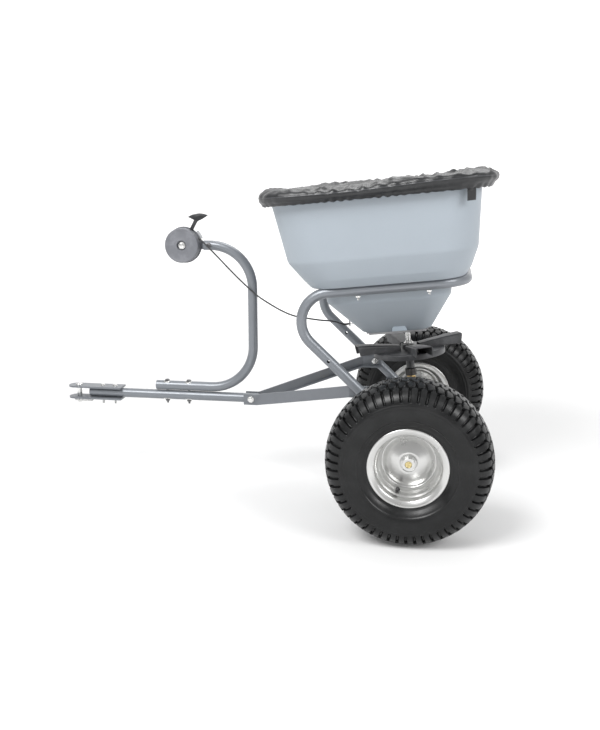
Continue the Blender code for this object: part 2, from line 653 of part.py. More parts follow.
def build_control_head(arm):
    """The round housing, the lever with its grip, the dial plate and the bracket they turn on."""
    plate = 0.004
    bracket_front = -plate / 2
    dial_back = bracket_front - FIT_GAP
    dial_front = dial_back - 0.0028
    lever_back = dial_front - FIT_GAP
    lever_front = lever_back - 0.006
    housing_back = lever_front - FIT_GAP
    housing_front = housing_back - HEAD_THICKNESS
    centre = (HEAD_X, 0.0, ARM_TOP)
    pivot = 0.004

    slot = plate / 2 + FIT_GAP
    depth = 0.030
    cut(arm, "bracket_slot", box((-0.01, -slot, -0.0115), (depth, slot, 0.0115)), GROUND,
        (ARM_TOP_END, 0.0, ARM_TOP))
    half = 0.011
    outline = [(ARM_TOP_END + depth - 0.001, ARM_TOP - half), (ARM_TOP_END + depth - 0.001, ARM_TOP + half),
               (HEAD_X + 0.020, ARM_TOP + half)]
    for i in range(9):
        a = math.radians(50 + 260 * i / 8)
        outline.append((HEAD_X + 0.018 * math.cos(a), ARM_TOP + 0.018 * math.sin(a)))
    outline.append((HEAD_X + 0.020, ARM_TOP - half))
    bracket = placed("head_bracket", side_plate_mesh(outline, bracket_front, -bracket_front),
                     FRAME_PAINT, GROUND)
    bolt_x = ARM_TOP_END + 0.016
    seat = (bolt_x, -TUBE_RADIUS - FIT_GAP, ARM_TOP)
    grip = TUBE_DIAMETER + 2 * FIT_GAP
    for piece in (arm, bracket):
        bolt_hole(piece, f"{piece.name}_bracket_hole", GROUND, seat, (0.0, 1.0, 0.0), SMALL_BOLT_RADIUS, grip)
    bolt("bracket_bolt", ZINC, GROUND, seat, (0.0, 1.0, 0.0), SMALL_BOLT_RADIUS, grip, 0.003)

    across = (0.0, 1.0, 0.0)
    bore = pivot + FIT_GAP
    turned("dial_plate", [(bore, dial_front), (HEAD_RADIUS + 0.0025, dial_front),
                          (HEAD_RADIUS + 0.0025, dial_back), (bore, dial_back)],
           GREY_PLASTIC, GROUND, centre, across, 32)
    recess = 0.0125
    turned("control_housing",
           [(bore, housing_front + 0.006), (recess, housing_front + 0.006), (recess, housing_front),
            (HEAD_RADIUS - 0.0015, housing_front), (HEAD_RADIUS, housing_front + 0.0015),
            (HEAD_RADIUS, housing_back), (HEAD_RADIUS - 0.0025, housing_back),
            (HEAD_RADIUS - 0.0025, housing_front + 0.010), (bore, housing_front + 0.010)],
           GREY_PLASTIC, GROUND, centre, across, 32)
    bolt_seat = (HEAD_X, housing_front + 0.006 - FIT_GAP, ARM_TOP)
    back_seat = -bracket_front + FIT_GAP
    length = back_seat - bolt_seat[1]
    cut(bracket, "pivot_hole", rod(bore, -0.01, 0.01, 16), GROUND, centre, across)
    bolt("pivot_bolt", ZINC, GROUND, bolt_seat, across, pivot, length, 0.002)

    hub = 0.018
    stem = 0.0045
    inner = LEVER_LENGTH - 0.010
    lever = turned("control_lever", [(bore, lever_front), (hub, lever_front), (hub, lever_back),
                                     (bore, lever_back)], BLACK_PLASTIC, GROUND, centre, across, 24)
    lean = math.radians(LEVER_LEAN)
    along = (math.sin(lean), 0.0, math.cos(lean))
    middle = (lever_front + lever_back) / 2
    join(lever, "lever_stem", box((-stem, -0.0028, hub - 0.005), (stem, 0.0028, inner)), GROUND,
         (HEAD_X, middle, ARM_TOP), along)
    grip_outline = [(-0.027, 0.000), (-0.016, 0.0055), (0.002, 0.0095), (0.014, 0.0085), (0.027, 0.0045),
                    (0.012, -0.0050), (-0.002, -0.0115), (-0.010, -0.0085)]
    grip_half = 0.010
    grip_mesh = side_plate_mesh(grip_outline, -grip_half, grip_half)
    join(lever, "lever_grip", grip_mesh, GROUND,
         (HEAD_X + LEVER_LENGTH * along[0] + 0.001, middle, ARM_TOP + LEVER_LENGTH * along[2]))


def build_cable():
    """The control cable in its sheath, from beside the head to just short of its ear."""
    start = Vector(CABLE_START)
    end = deck_to_ground(PULL_EAR_U - 3 * FIT_GAP, PULL_Y, PULL_W)
    before_end = deck_to_ground(PULL_EAR_U - 0.016, PULL_Y, PULL_W)
    hanging = [(start.x + (end.x - start.x) * along, y, start.z + (end.z - start.z) * down)
               for along, y, down in CABLE_ROUTE]
    path = smooth_path([start, *hanging, before_end, end], 2)
    placed("control_cable", tube_mesh(path, CABLE_RADIUS, 2), BLACK_PLASTIC, GROUND)


# ---------------------------------------------------------------- hopper, cover and gate

def build_hopper(frame_tube):
    """The moulded hopper with its funnel, ports and bolts."""
    lip = HOPPER_LIP - HOPPER_WALL
    rim = RIM_HEIGHT - HOPPER_WALL
    shelf_front = HOPPER_FRONT + 0.0695
    shelf_rear = HOPPER_REAR - 0.0490
    half = HOPPER_HALF_WIDTH
    funnel = FUNNEL_HALF_WIDTH
    rings = [
        rounded_ring(HOPPER_FRONT - lip, HOPPER_REAR + lip, half + lip, 0.100, rim - 0.0055),
        rounded_ring(HOPPER_FRONT - lip, HOPPER_REAR + lip, half + lip, 0.100, rim),
        rounded_ring(HOPPER_FRONT, HOPPER_REAR, half, 0.090, rim),
        rounded_ring(HOPPER_FRONT + 0.020, HOPPER_REAR - 0.016, half - 0.019, 0.090, FOLD_HEIGHT),
        rounded_ring(HOPPER_FRONT + 0.025, HOPPER_REAR - 0.018, half - 0.022, 0.090, FOLD_HEIGHT - 0.005),
        rounded_ring(HOPPER_FRONT + 0.050, HOPPER_REAR - 0.0345, half - 0.038, 0.085, SHELF_HEIGHT + 0.020),
        rounded_ring(shelf_front - 0.005, shelf_rear + 0.006, half - 0.047, 0.078, SHELF_HEIGHT + 0.005),
        rounded_ring(shelf_front, shelf_rear, half - 0.052, 0.070, SHELF_HEIGHT),
        rounded_ring(-0.186, 0.121, funnel, 0.060, SHELF_HEIGHT),
        rounded_ring(FUNNEL_TOP[0], 0.116, funnel - 0.004, 0.055, FUNNEL_TOP[1]),
        rounded_ring(FUNNEL_FOOT[0], 0.062, 0.073, 0.030, FUNNEL_FOOT[1]),
        rounded_ring(-0.106, 0.058, 0.069, 0.027, FLOOR_HEIGHT),
    ]
    hopper = placed("hopper", bowl_mesh(rings), HOPPER_POLY, DECK)
    walled(hopper, HOPPER_WALL, -1.0)

    boss = 0.0185
    boss_outline = [(-0.0155 + boss * math.cos(math.radians(a)),
                     FLOOR_HEIGHT + 0.0004 + boss * math.sin(math.radians(a))) for a in range(0, 181, 20)]
    for side, name in ((-1, "near"), (1, "far")):
        low, high = sorted((side * 0.066, side * 0.088))
        join(hopper, f"funnel_boss_{name}", side_plate_mesh(boss_outline, low, high), DECK)
        low, high = sorted((side * PORT_INNER, side * PORT_OUTER))
        port = box((PORT_FRONT, low, FLOOR_HEIGHT - 0.004),
                   (PORT_FRONT + PORT_LENGTH, high, FLOOR_HEIGHT + 0.008))
        cut(hopper, f"port_{name}", port, DECK)
    cut(hopper, "shaft_hole", rod(SHAFT_RADIUS + 0.003, -0.01, 0.01, 20), DECK, (0.0, 0.0, FLOOR_HEIGHT))

    seat_w = SHELF_HEIGHT + HOPPER_WALL + FIT_GAP
    grip = seat_w - (RAIL_HEIGHT - TUBE_RADIUS - FIT_GAP)
    for u, end in zip(HOPPER_BOLTS_U, ("front", "rear")):
        for side, name in ((-1, "near"), (1, "far")):
            seat = (u, side * FRAME_HALF, seat_w)
            for piece in (hopper, frame_tube):
                bolt_hole(piece, f"{piece.name}_{end}_{name}", DECK, seat, (0.0, 0.0, -1.0),
                          SMALL_BOLT_RADIUS, grip)
            bolt(f"hopper_bolt_{end}_{name}", ZINC, DECK, seat, (0.0, 0.0, -1.0), SMALL_BOLT_RADIUS,
                 grip, 0.006)


def build_cover():
    """The elastic rain cover, as a closed cap that stands clear of the rim."""
    out = HOPPER_LIP + COVER_WALL + 0.003
    front = HOPPER_FRONT - out
    rear = HOPPER_REAR + out
    half = HOPPER_HALF_WIDTH + out
    top = RIM_HEIGHT + COVER_PUFF
    rings = [
        rounded_ring(front, rear + 0.004, half, 0.100, RIM_HEIGHT - 0.012),
        rounded_ring(front - 0.0025, rear + 0.011, half + 0.004, 0.102, RIM_HEIGHT - 0.0055),
        rounded_ring(front - 0.0065, rear + 0.020, half + 0.010, 0.104, RIM_HEIGHT + 0.004),
        rounded_ring(front - 0.0015, rear + 0.016, half + 0.006, 0.102, top - 0.014),
        rounded_ring(front + 0.0115, rear + 0.002, half - 0.008, 0.096, top - 0.004),
        rounded_ring(front + 0.040, rear - 0.026, half - 0.034, 0.090, top),
        rounded_ring(front + 0.100, rear - 0.080, half - 0.090, 0.080, top - 0.002),
        rounded_ring(front + 0.200, rear - 0.180, half - 0.180, 0.050, top - 0.005),
    ]
    for ring in rings:
        ring.reverse()
    cover = placed("rain_cover", bowl_mesh(rings), COVER_NYLON, DECK)
    walled(cover, COVER_WALL, -1.0)


def build_gate():
    """The sliding gate under the ports, its guides, its cable bracket and its pull wire."""
    bottom = GATE_TOP - GATE_THICKNESS
    front = PORT_FRONT - 0.028
    rear = PORT_FRONT + PORT_LENGTH + GATE_TRAVEL + 0.049
    gate = placed("gate_plate", box((front, -GATE_HALF_WIDTH, bottom), (rear, GATE_HALF_WIDTH, GATE_TOP)),
                  ZINC, DECK)
    shaft = SHAFT_RADIUS + 0.0025
    below = bottom - 0.01
    above = GATE_TOP + 0.01
    cut(gate, "gate_shaft_slot", box((-shaft, -shaft, below), (GATE_TRAVEL + shaft, shaft, above)), DECK)
    for side, name in ((-1, "near"), (1, "far")):
        low, high = sorted((side * PORT_INNER, side * PORT_OUTER))
        port_front = PORT_FRONT + GATE_TRAVEL
        cut(gate, f"gate_port_{name}",
            box((port_front, low, below), (port_front + PORT_LENGTH, high, above)), DECK)
        wall = GATE_HALF_WIDTH + 0.0012
        ledge = bottom - FIT_GAP
        outline = [(wall, FLOOR_HEIGHT - FIT_GAP), (wall, ledge), (wall - 0.006, ledge),
                   (wall - 0.006, ledge - 0.0025), (wall + 0.004, ledge - 0.0025),
                   (wall + 0.004, FLOOR_HEIGHT - FIT_GAP)]
        mesh = plate_mesh([(w, side * y) for y, w in outline], PORT_FRONT - 0.022, 0.050)
        mesh.transform(Matrix(((0, 0, 1, 0), (0, 1, 0, 0), (1, 0, 0, 0), (0, 0, 0, 1))))
        mesh.flip_normals()
        placed(f"gate_guide_{name}", mesh, ZINC, DECK)

    tab_front = front - 0.012
    join(gate, "pull_tab", box((tab_front, 0.030, bottom), (front + 0.0045, PULL_Y + 0.006, GATE_TOP)), DECK)
    lug_back = tab_front + 0.0024
    join(gate, "pull_lug",
         box((tab_front, PULL_Y - 0.006, bottom), (lug_back, PULL_Y + 0.006, PULL_W + 0.005)), DECK)
    cut(gate, "pull_hole", rod(0.0013, -0.01, 0.01, 10), DECK, (tab_front, PULL_Y, PULL_W), (1.0, 0.0, 0.0))


def build_cable_bracket():
    """The ear in front of the funnel that the cable's end is held in."""
    top, foot = Vector(FUNNEL_TOP), Vector(FUNNEL_FOOT)
    along = (foot - top).normalized()
    ahead = Vector((along.y, -along.x))
    if ahead.x > 0:
        ahead.negate()
    sheet = 0.002

    def on_wall(distance, off):
        point = top + along * distance + ahead * off
        return (point.x, point.y)

    near, outer = 0.0005, 0.0005 + sheet
    ear_front = PULL_EAR_U
    outline = [on_wall(0.037, near), on_wall(0.067, near), on_wall(0.067, outer)]
    for u in (ear_front + sheet, ear_front):
        distance = (u - top.x - ahead.x * outer) / along.x
        corner = on_wall(distance, outer)
        foot_point = (u, PULL_W - 0.006)
        outline += [corner, foot_point] if u > ear_front else [foot_point, corner]
    outline.append(on_wall(0.037, outer))
    bracket = placed("cable_bracket", side_plate_mesh(outline, PULL_Y - 0.008, PULL_Y + 0.008), ZINC, DECK)
    cut(bracket, "cable_hole", rod(0.0013, -0.01, 0.01, 10), DECK, (ear_front, PULL_Y, PULL_W), (1.0, 0.0, 0.0))


# ---------------------------------------------------------------- spinner and gearbox

def bevel_gear_mesh(teeth, radius, mate_radius, face, tip_half, root_half, body):
    """A straight bevel gear about Z, its pitch cone's point at the origin and opening along +Z.

    Each end is a closed outline of four points a tooth. The tips and roots stand off the pitch
    cone square to it, and body is the thickness behind the teeth.
    """
    cone = math.hypot(radius, mate_radius)
    sine, cosine = radius / cone, mate_radius / cone
    module = 2 * radius / teeth
    pitch = 2 * math.pi / teeth
    offsets = ((-root_half, -1.05), (-tip_half, 0.72), (tip_half, 0.72), (root_half, -1.05))

    def build(work):
        loops = []
        for along in (cone - face, cone):
            scale = along / cone
            loop = []
            for k in range(teeth):
                for angle, height in offsets:
                    a = pitch * (k + angle)
                    high = height * module * scale
                    r = along * sine + high * cosine
                    z = along * cosine - high * sine
                    loop.append(work.verts.new((r * math.cos(a), r * math.sin(a), z)))
            loops.append(loop)
        for vertex in loops[1]:
            vertex.co.z += body
        count = len(loops[0])
        for lower, upper in zip(loops, loops[1:]):
            for i in range(count):
                j = (i + 1) % count
                work.faces.new((lower[i], lower[j], upper[j], upper[i]))
        work.faces.new(loops[0][::-1])
        work.faces.new(loops[-1])
    return mesh_from(build)


def build_gears():
    """The bevel pair: the large gear on the axle and the pinion under the spinner shaft."""
    pinion_radius = GEAR_RADIUS * PINION_TEETH / GEAR_TEETH
    gear = placed("drive_gear",
                  bevel_gear_mesh(GEAR_TEETH, GEAR_RADIUS, pinion_radius, GEAR_FACE, 0.11, 0.25, 0.003),
                  GEAR_STEEL, DECK, (0.0, 0.0, 0.0), (0.0, 1.0, 0.0), 90 + 180 / GEAR_TEETH)
    join(gear, "gear_hub", rod(0.0135, 0.011, 0.0285, 24), DECK, (0.0, 0.0, 0.0), (0.0, 1.0, 0.0))
    cut(gear, "gear_bore", rod(AXLE_RADIUS + FIT_GAP, -0.05, 0.06, 24), DECK, (0.0, 0.0, 0.0), (0.0, 1.0, 0.0))
    pinion = placed("pinion_gear",
                    bevel_gear_mesh(PINION_TEETH, pinion_radius, GEAR_RADIUS, GEAR_FACE, 0.12, 0.25, 0.004),
                    GEAR_STEEL, DECK, (0.0, 0.0, 0.0), (0.0, 0.0, 1.0), 90)
    cut(pinion, "pinion_bore", rod(SHAFT_RADIUS + FIT_GAP, 0.0, 0.08, 20), DECK)


def build_gearbox():
    """The two halves of the gear housing, split across the shaft, with a lug to the cross strap."""
    half_u = GEAR_RADIUS + 0.0080
    low_y, high_y = -0.024, 0.035
    low_w, high_w = -0.045, 0.0585
    wall = GEARBOX_WALL
    neck = 0.0140
    axle_boss = 0.0145
    shaft_hole = SHAFT_RADIUS + 0.0004
    lug_top = on_leg(CROSS_STRAP_ALONG_LEG + 0.010, TUBE_RADIUS)
    lug_bottom = on_leg(CROSS_STRAP_ALONG_LEG - 0.010, TUBE_RADIUS)
    lug = [lug_top, lug_bottom, (-half_u + 0.001, 0.026), (-0.020, 0.026), (-0.020, high_w - 0.002)]
    for side, name in ((-1, "front"), (1, "rear")):
        low, high = sorted((side * FIT_GAP / 2, side * half_u))
        half = placed(f"gearbox_{name}", box((low, low_y, low_w), (high, high_y, high_w)), BLACK_PLASTIC, DECK)
        join(half, f"neck_{name}", rod(neck, high_w - 0.002, GEARBOX_NECK_TOP, 24), DECK)
        join(half, f"axle_boss_{name}", rod(axle_boss, low_y - 0.010, high_y + 0.010, 24), DECK,
             (0.0, 0.0, 0.0), (0.0, 1.0, 0.0))
        if side < 0:
            join(half, "strap_lug", side_plate_mesh(lug, -0.011, 0.011), DECK)
        cut(half, f"gear_room_{name}",
            box((-half_u + wall, low_y + wall, low_w + wall), (half_u - wall, high_y - wall, high_w - wall)), DECK)
        cut(half, f"shaft_way_{name}", rod(shaft_hole, 0.0, GEARBOX_NECK_TOP + 0.01, 24), DECK)
        cut(half, f"axle_way_{name}", rod(AXLE_RADIUS + 0.0004, low_y - 0.02, high_y + 0.02, 24), DECK,
            (0.0, 0.0, 0.0), (0.0, 1.0, 0.0))
        low, high = sorted((side * FIT_GAP / 2, -side * 0.08))
        cut(half, f"split_{name}", box((low, -0.1, -0.1), (high, 0.1, 0.2)), DECK)
        if side < 0:
            seat_u, seat_w = on_leg(CROSS_STRAP_ALONG_LEG, TUBE_RADIUS)
            inwards = (-LEG_FRONT_NORMAL[0], 0.0, -LEG_FRONT_NORMAL[1])
            cut(half, "lug_hole", rod(SMALL_BOLT_RADIUS + FIT_GAP, -0.005, 0.012, 16), DECK,
                (seat_u, 0.0, seat_w), inwards)


def build_spinner():
    """The upright shaft with its bush, collar, impeller and agitator."""
    shaft = placed("spinner_shaft", rod(SHAFT_RADIUS, 0.024, SHAFT_TOP, 20), ZINC, DECK)
    bore = SHAFT_RADIUS + FIT_GAP
    bush_low = GEARBOX_NECK_TOP + FIT_GAP
    turned("shaft_bush", [(bore, bush_low), (0.0125, bush_low), (0.0125, bush_low + 0.004),
                          (0.0100, bush_low + 0.0055), (0.0100, bush_low + 0.0085),
                          (bore, bush_low + 0.0085)], BRASS, DECK, steps=28)
    collar_low = bush_low + 0.0085 + FIT_GAP
    collar = placed("shaft_collar", rod(0.0150, collar_low, collar_low + 0.0185, 24), BLACK_PLASTIC, DECK)
    for i in range(8):
        a = 2 * math.pi * i / 8
        cut(collar, f"collar_flute_{i}", rod(0.0022, collar_low - 0.01, collar_low + 0.04, 10), DECK,
            (0.0158 * math.cos(a), 0.0158 * math.sin(a), 0.0))
    cut(collar, "collar_bore", rod(bore, collar_low - 0.01, collar_low + 0.04, 20), DECK)

    floor = IMPELLER_FLOOR
    hub_top = floor + 0.0150
    hub_low = collar_low + 0.0185 + FIT_GAP
    disc = placed("impeller",
                  stacked([(floor - 0.003, IMPELLER_DISC_RADIUS, "round"), (floor, IMPELLER_DISC_RADIUS, "round")],
                          28), BLACK_PLASTIC, DECK, (0.0, 0.0, 0.0), (0.0, 0.0, 1.0), VANE_TURN)
    join(disc, "impeller_hub", rod(0.0105, hub_low, hub_top, 20), DECK)
    join(disc, "impeller_boss", rod(0.0180, floor - 0.012, hub_top - 0.002, 20), DECK)
    skirt = IMPELLER_DISC_RADIUS - 0.0030
    join(disc, "impeller_skirt", rod(skirt, floor - 0.0150, floor - 0.0010, 28), DECK)
    cut(disc, "skirt_hollow", hollow_mesh(skirt - VANE_WALL, 0.0180, floor - 0.020, floor - 0.0030), DECK)
    half = VANE_WIDTH / 2
    top = floor + VANE_HEIGHT
    for k in range(4):
        turn = math.radians(VANE_TURN + 90 * k)
        spoke = Matrix.Rotation(turn, 4, "Z")
        vane = box((0.030, -half, floor - VANE_WALL), (IMPELLER_RADIUS, half, top))
        vane.transform(spoke)
        join(disc, f"vane_{k}", vane, DECK)
    for k in range(4):
        spoke = Matrix.Rotation(math.radians(VANE_TURN + 90 * k), 4, "Z")
        channel = box((0.0250, -half + VANE_WALL, floor),
                      (IMPELLER_RADIUS + 0.01, half - VANE_WALL, top - VANE_WALL))
        channel.transform(spoke)
        cut(disc, f"channel_{k}", channel, DECK)
    cut(disc, "impeller_bore", rod(bore, hub_low - 0.01, hub_top + 0.01, 20), DECK)

    wire = 0.0025
    wire_w = FLOOR_HEIGHT + HOPPER_WALL + 0.0075
    cut(shaft, "agitator_hole", rod(wire + FIT_GAP, -0.02, 0.02, 12), DECK, (0.0, 0.0, wire_w), (1.0, 0.0, 0.0))
    route = [(-0.046, 0.0, wire_w + 0.024), (-0.040, 0.0, wire_w), (0.040, 0.0, wire_w),
             (0.046, 0.0, wire_w + 0.024)]
    placed("agitator", tube_mesh(rounded_path(route, (0.006, 0.006), 20), wire, 2), ZINC, DECK)


def hollow_mesh(outer, inner, low, high, sides=28):
    """A ring-shaped cutter."""
    def build(work):
        loops = []
        for radius, z in ((outer, low), (outer, high), (inner, high), (inner, low)):
            loops.append([work.verts.new((radius * math.cos(2 * math.pi * i / sides),
                                          radius * math.sin(2 * math.pi * i / sides), z))
                          for i in range(sides)])
        for lower, upper in zip(loops, loops[1:] + loops[:1]):
            for i in range(sides):
                j = (i + 1) % sides
                work.faces.new((lower[i], lower[j], upper[j], upper[i]))
        bmesh.ops.recalc_face_normals(work, faces=work.faces)
    return mesh_from(build)


# ---------------------------------------------------------------- axle and wheels

def build_axle():
    """The axle with its spacers, the pin of the driven wheel and the keeper of the free one."""
    half_track = TRACK / 2
    near_end = half_track + HUB_OUTER_REACH - 0.001
    far_end = half_track + HUB_OUTER_REACH + 0.014
    axle = placed("axle", rod(AXLE_RADIUS, -near_end, far_end, 24), YELLOW_ZINC, GROUND,
                  (0.0, 0.0, WHEEL_RADIUS), (0.0, 1.0, 0.0))
    bore = AXLE_RADIUS + AXLE_CLEARANCE
    inner = FRAME_HALF + TUBE_RADIUS + 0.003 + 2 * FIT_GAP
    outer = half_track - HUB_INNER_REACH - FIT_GAP
    for side, name in ((-1, "near"), (1, "far")):
        turned(f"wheel_spacer_{name}", [(bore, inner), (bore + 0.0025, inner), (bore + 0.0025, outer),
                                        (bore, outer)], ZINC, GROUND, (0.0, 0.0, WHEEL_RADIUS),
               (0.0, side, 0.0), 24)
    pin = DRIVE_PIN_RADIUS
    place = (0.0, DRIVE_PIN_INSET - half_track, WHEEL_RADIUS)
    cut(axle, "drive_pin_hole", rod(pin + FIT_GAP, -0.02, 0.02, 12), GROUND, place, (0.0, 0.0, 1.0))
    placed("drive_pin", rod(pin, -0.0205, 0.0205, 12), ZINC, GROUND, place, (0.0, 0.0, 1.0))
    keeper_y = half_track + HUB_OUTER_REACH
    turned("keeper_washer", [(bore, keeper_y + FIT_GAP), (0.0145, keeper_y + FIT_GAP),
                             (0.0145, keeper_y + 0.0022), (bore, keeper_y + 0.0022)], ZINC, GROUND,
           (0.0, 0.0, WHEEL_RADIUS), (0.0, 1.0, 0.0), 24)
    place = (0.0, keeper_y + 0.0022 + FIT_GAP + pin, WHEEL_RADIUS)
    cut(axle, "keeper_pin_hole", rod(pin + FIT_GAP, -0.02, 0.02, 12), GROUND, place, (0.0, 0.0, 1.0))
    head = 2 * pin
    placed("keeper_pin", stacked([(-0.0150, pin, "round"), (0.0150, pin, "round"), (0.0165, head, "round"),
                                  (0.0195, head, "round"), (0.0210, pin, "round")]), ZINC, GROUND, place,
           (0.0, 0.0, 1.0))


def rim_outline():
    """The pressed rim in one closed outline of (radius, offset): barrel outside, its inside, the disc."""
    half = RIM_HALF_WIDTH
    seat = RIM_SEAT_RADIUS
    wall = RIM_WALL
    outside = [(RIM_FLANGE_RADIUS, half + 0.0045), (RIM_FLANGE_RADIUS - 0.0035, half + 0.0008),
               (seat, half - 0.001), (seat - 0.0006, half - 0.017), (RIM_WELL_RADIUS, half - 0.040)]
    inside = [(RIM_FLANGE_RADIUS - 0.0018, half + 0.0060), (RIM_FLANGE_RADIUS - 0.0043, half + 0.0032),
              (seat - wall, half + 0.0008), (seat - 0.0006 - wall, half - 0.0175),
              (RIM_WELL_RADIUS - wall, half - 0.0405)]
    bore = HUB_RADIUS + FIT_GAP
    front = [(RIM_WELL_RADIUS - wall, 0.0020), (0.0500, 0.0090), (0.0250, 0.0180), (bore, 0.0180)]
    back = [(radius, offset - wall) for radius, offset in front]
    barrel = outside + [(radius, -offset) for radius, offset in reversed(outside)]
    inner_side = [(radius, -offset) for radius, offset in inside]
    return barrel + inner_side + back + front[::-1] + inside[::-1]


def tyre_outline():
    """The casing as a C-shaped section of (radius, offset), open towards the rim."""
    half = TYRE_WIDTH / 2
    middle = WHEEL_RADIUS - 0.0555
    height = 0.0555
    bead_radius = RIM_SEAT_RADIUS + 0.0008
    bead_outer = RIM_HALF_WIDTH - 0.0024

    def crown(shrink, points):
        arc = []
        for i in range(points):
            a = math.radians(-38 + 256 * i / (points - 1))
            c, s = math.cos(a), math.sin(a)
            across = (half - shrink) * math.copysign(abs(c) ** 0.80, c)
            up = (height - shrink) * math.copysign(abs(s) ** 0.80, s)
            arc.append((middle + up, across))
        return arc

    outside = crown(0.0, 11)
    inside = crown(TYRE_WALL, 5)
    lip = RIM_FLANGE_RADIUS + 0.0012
    right = [(bead_radius, bead_outer - 0.010), (bead_radius, bead_outer), (lip, bead_outer - 0.0002),
             (lip + 0.001, RIM_HALF_WIDTH + 0.004)]
    left = [(r, -z) for r, z in reversed(right)]
    return right + outside + left + [(bead_radius + 0.010, -bead_outer + 0.010)] + inside[::-1] \
        + [(bead_radius + 0.010, bead_outer - 0.010)]


def build_wheel(side, name):
    """One wheel: tyre, rim and hub."""
    place = (0.0, side * TRACK / 2, WHEEL_RADIUS)
    axis = (0.0, side, 0.0)
    turned(f"tyre_{name}", tyre_outline(), TYRE_RUBBER, GROUND, place, axis, 32)
    turned(f"rim_{name}", rim_outline(), RIM_SILVER, GROUND, place, axis, 28)
    bore = AXLE_RADIUS + AXLE_CLEARANCE
    return turned(f"hub_{name}", [(bore, -HUB_INNER_REACH), (HUB_RADIUS, -HUB_INNER_REACH),
                                  (HUB_RADIUS, HUB_OUTER_REACH), (bore, HUB_OUTER_REACH)], RIM_SILVER, GROUND,
                  place, axis, 28)


def build_all():
    """Builds every sub-part."""
    frame_tube = build_frame()
    build_braces(frame_tube)
    tongue = build_tongue()
    build_hitch(tongue)
    arm = build_arm(tongue)
    build_control_head(arm)
    build_cable()
    build_hopper(frame_tube)
    build_cover()
    build_gate()
    build_cable_bracket()
    build_gears()
    build_gearbox()
    build_spinner()
    build_axle()
    near_hub = build_wheel(-1, "near")
    build_wheel(1, "far")
    cut(near_hub, "hub_pin_hole", rod(DRIVE_PIN_RADIUS + FIT_GAP, -0.03, 0.03, 12), GROUND,
        (0.0, DRIVE_PIN_INSET - TRACK / 2, WHEEL_RADIUS), (0.0, 0.0, 1.0))


build_all()
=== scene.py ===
"""Looks of a tow-behind garden spreader: wheels, frame, drawbar, covered hopper and spinner."""

import json
import logging
import math
from collections.abc import Callable, Iterable, Sequence
from dataclasses import dataclass, field
from enum import Enum

import bmesh
import bpy
import numpy as np
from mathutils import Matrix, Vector

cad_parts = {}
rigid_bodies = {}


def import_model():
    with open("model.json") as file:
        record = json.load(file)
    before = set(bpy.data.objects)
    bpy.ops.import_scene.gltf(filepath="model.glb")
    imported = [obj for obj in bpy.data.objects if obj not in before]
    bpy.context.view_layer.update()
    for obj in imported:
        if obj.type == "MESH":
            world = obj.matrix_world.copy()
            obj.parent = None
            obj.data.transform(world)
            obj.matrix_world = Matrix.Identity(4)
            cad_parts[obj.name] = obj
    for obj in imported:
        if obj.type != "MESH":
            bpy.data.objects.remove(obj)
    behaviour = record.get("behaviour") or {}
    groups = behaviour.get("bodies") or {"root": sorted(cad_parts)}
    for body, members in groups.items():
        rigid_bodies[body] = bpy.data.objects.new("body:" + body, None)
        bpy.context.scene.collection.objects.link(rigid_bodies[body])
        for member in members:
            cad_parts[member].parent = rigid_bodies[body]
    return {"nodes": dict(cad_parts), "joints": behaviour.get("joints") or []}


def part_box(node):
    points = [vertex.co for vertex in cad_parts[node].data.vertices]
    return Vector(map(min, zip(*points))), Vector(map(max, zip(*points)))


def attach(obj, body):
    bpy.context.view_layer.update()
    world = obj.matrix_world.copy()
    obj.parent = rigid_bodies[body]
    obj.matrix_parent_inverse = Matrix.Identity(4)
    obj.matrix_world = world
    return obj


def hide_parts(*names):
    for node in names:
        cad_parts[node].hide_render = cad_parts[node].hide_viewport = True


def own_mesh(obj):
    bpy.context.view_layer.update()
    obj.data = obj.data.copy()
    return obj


for stray in list(bpy.data.objects):
    bpy.data.objects.remove(stray, do_unlink=True)
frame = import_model()

log = logging.getLogger("spreader")

Array = np.ndarray
Colour = tuple[float, float, float]
Point = tuple[float, float, float]


class Body(Enum):
    """The bodies that pieces ride on."""

    CHASSIS = "chassis"
    DRIVE_AXLE = "drive_axle"
    FREE_WHEEL = "free_wheel"
    SPINNER = "spinner"
    LEVER = "lever"
    GATE = "gate"
    COVER = "cover"


class Side(Enum):
    """The near side is at -Y and the far side at +Y."""

    NEAR = -1
    FAR = 1

    @property
    def word(self) -> str:
        """The side's name as pieces use it."""
        return self.name.lower()


# ---------------------------------------------------------------- shaders


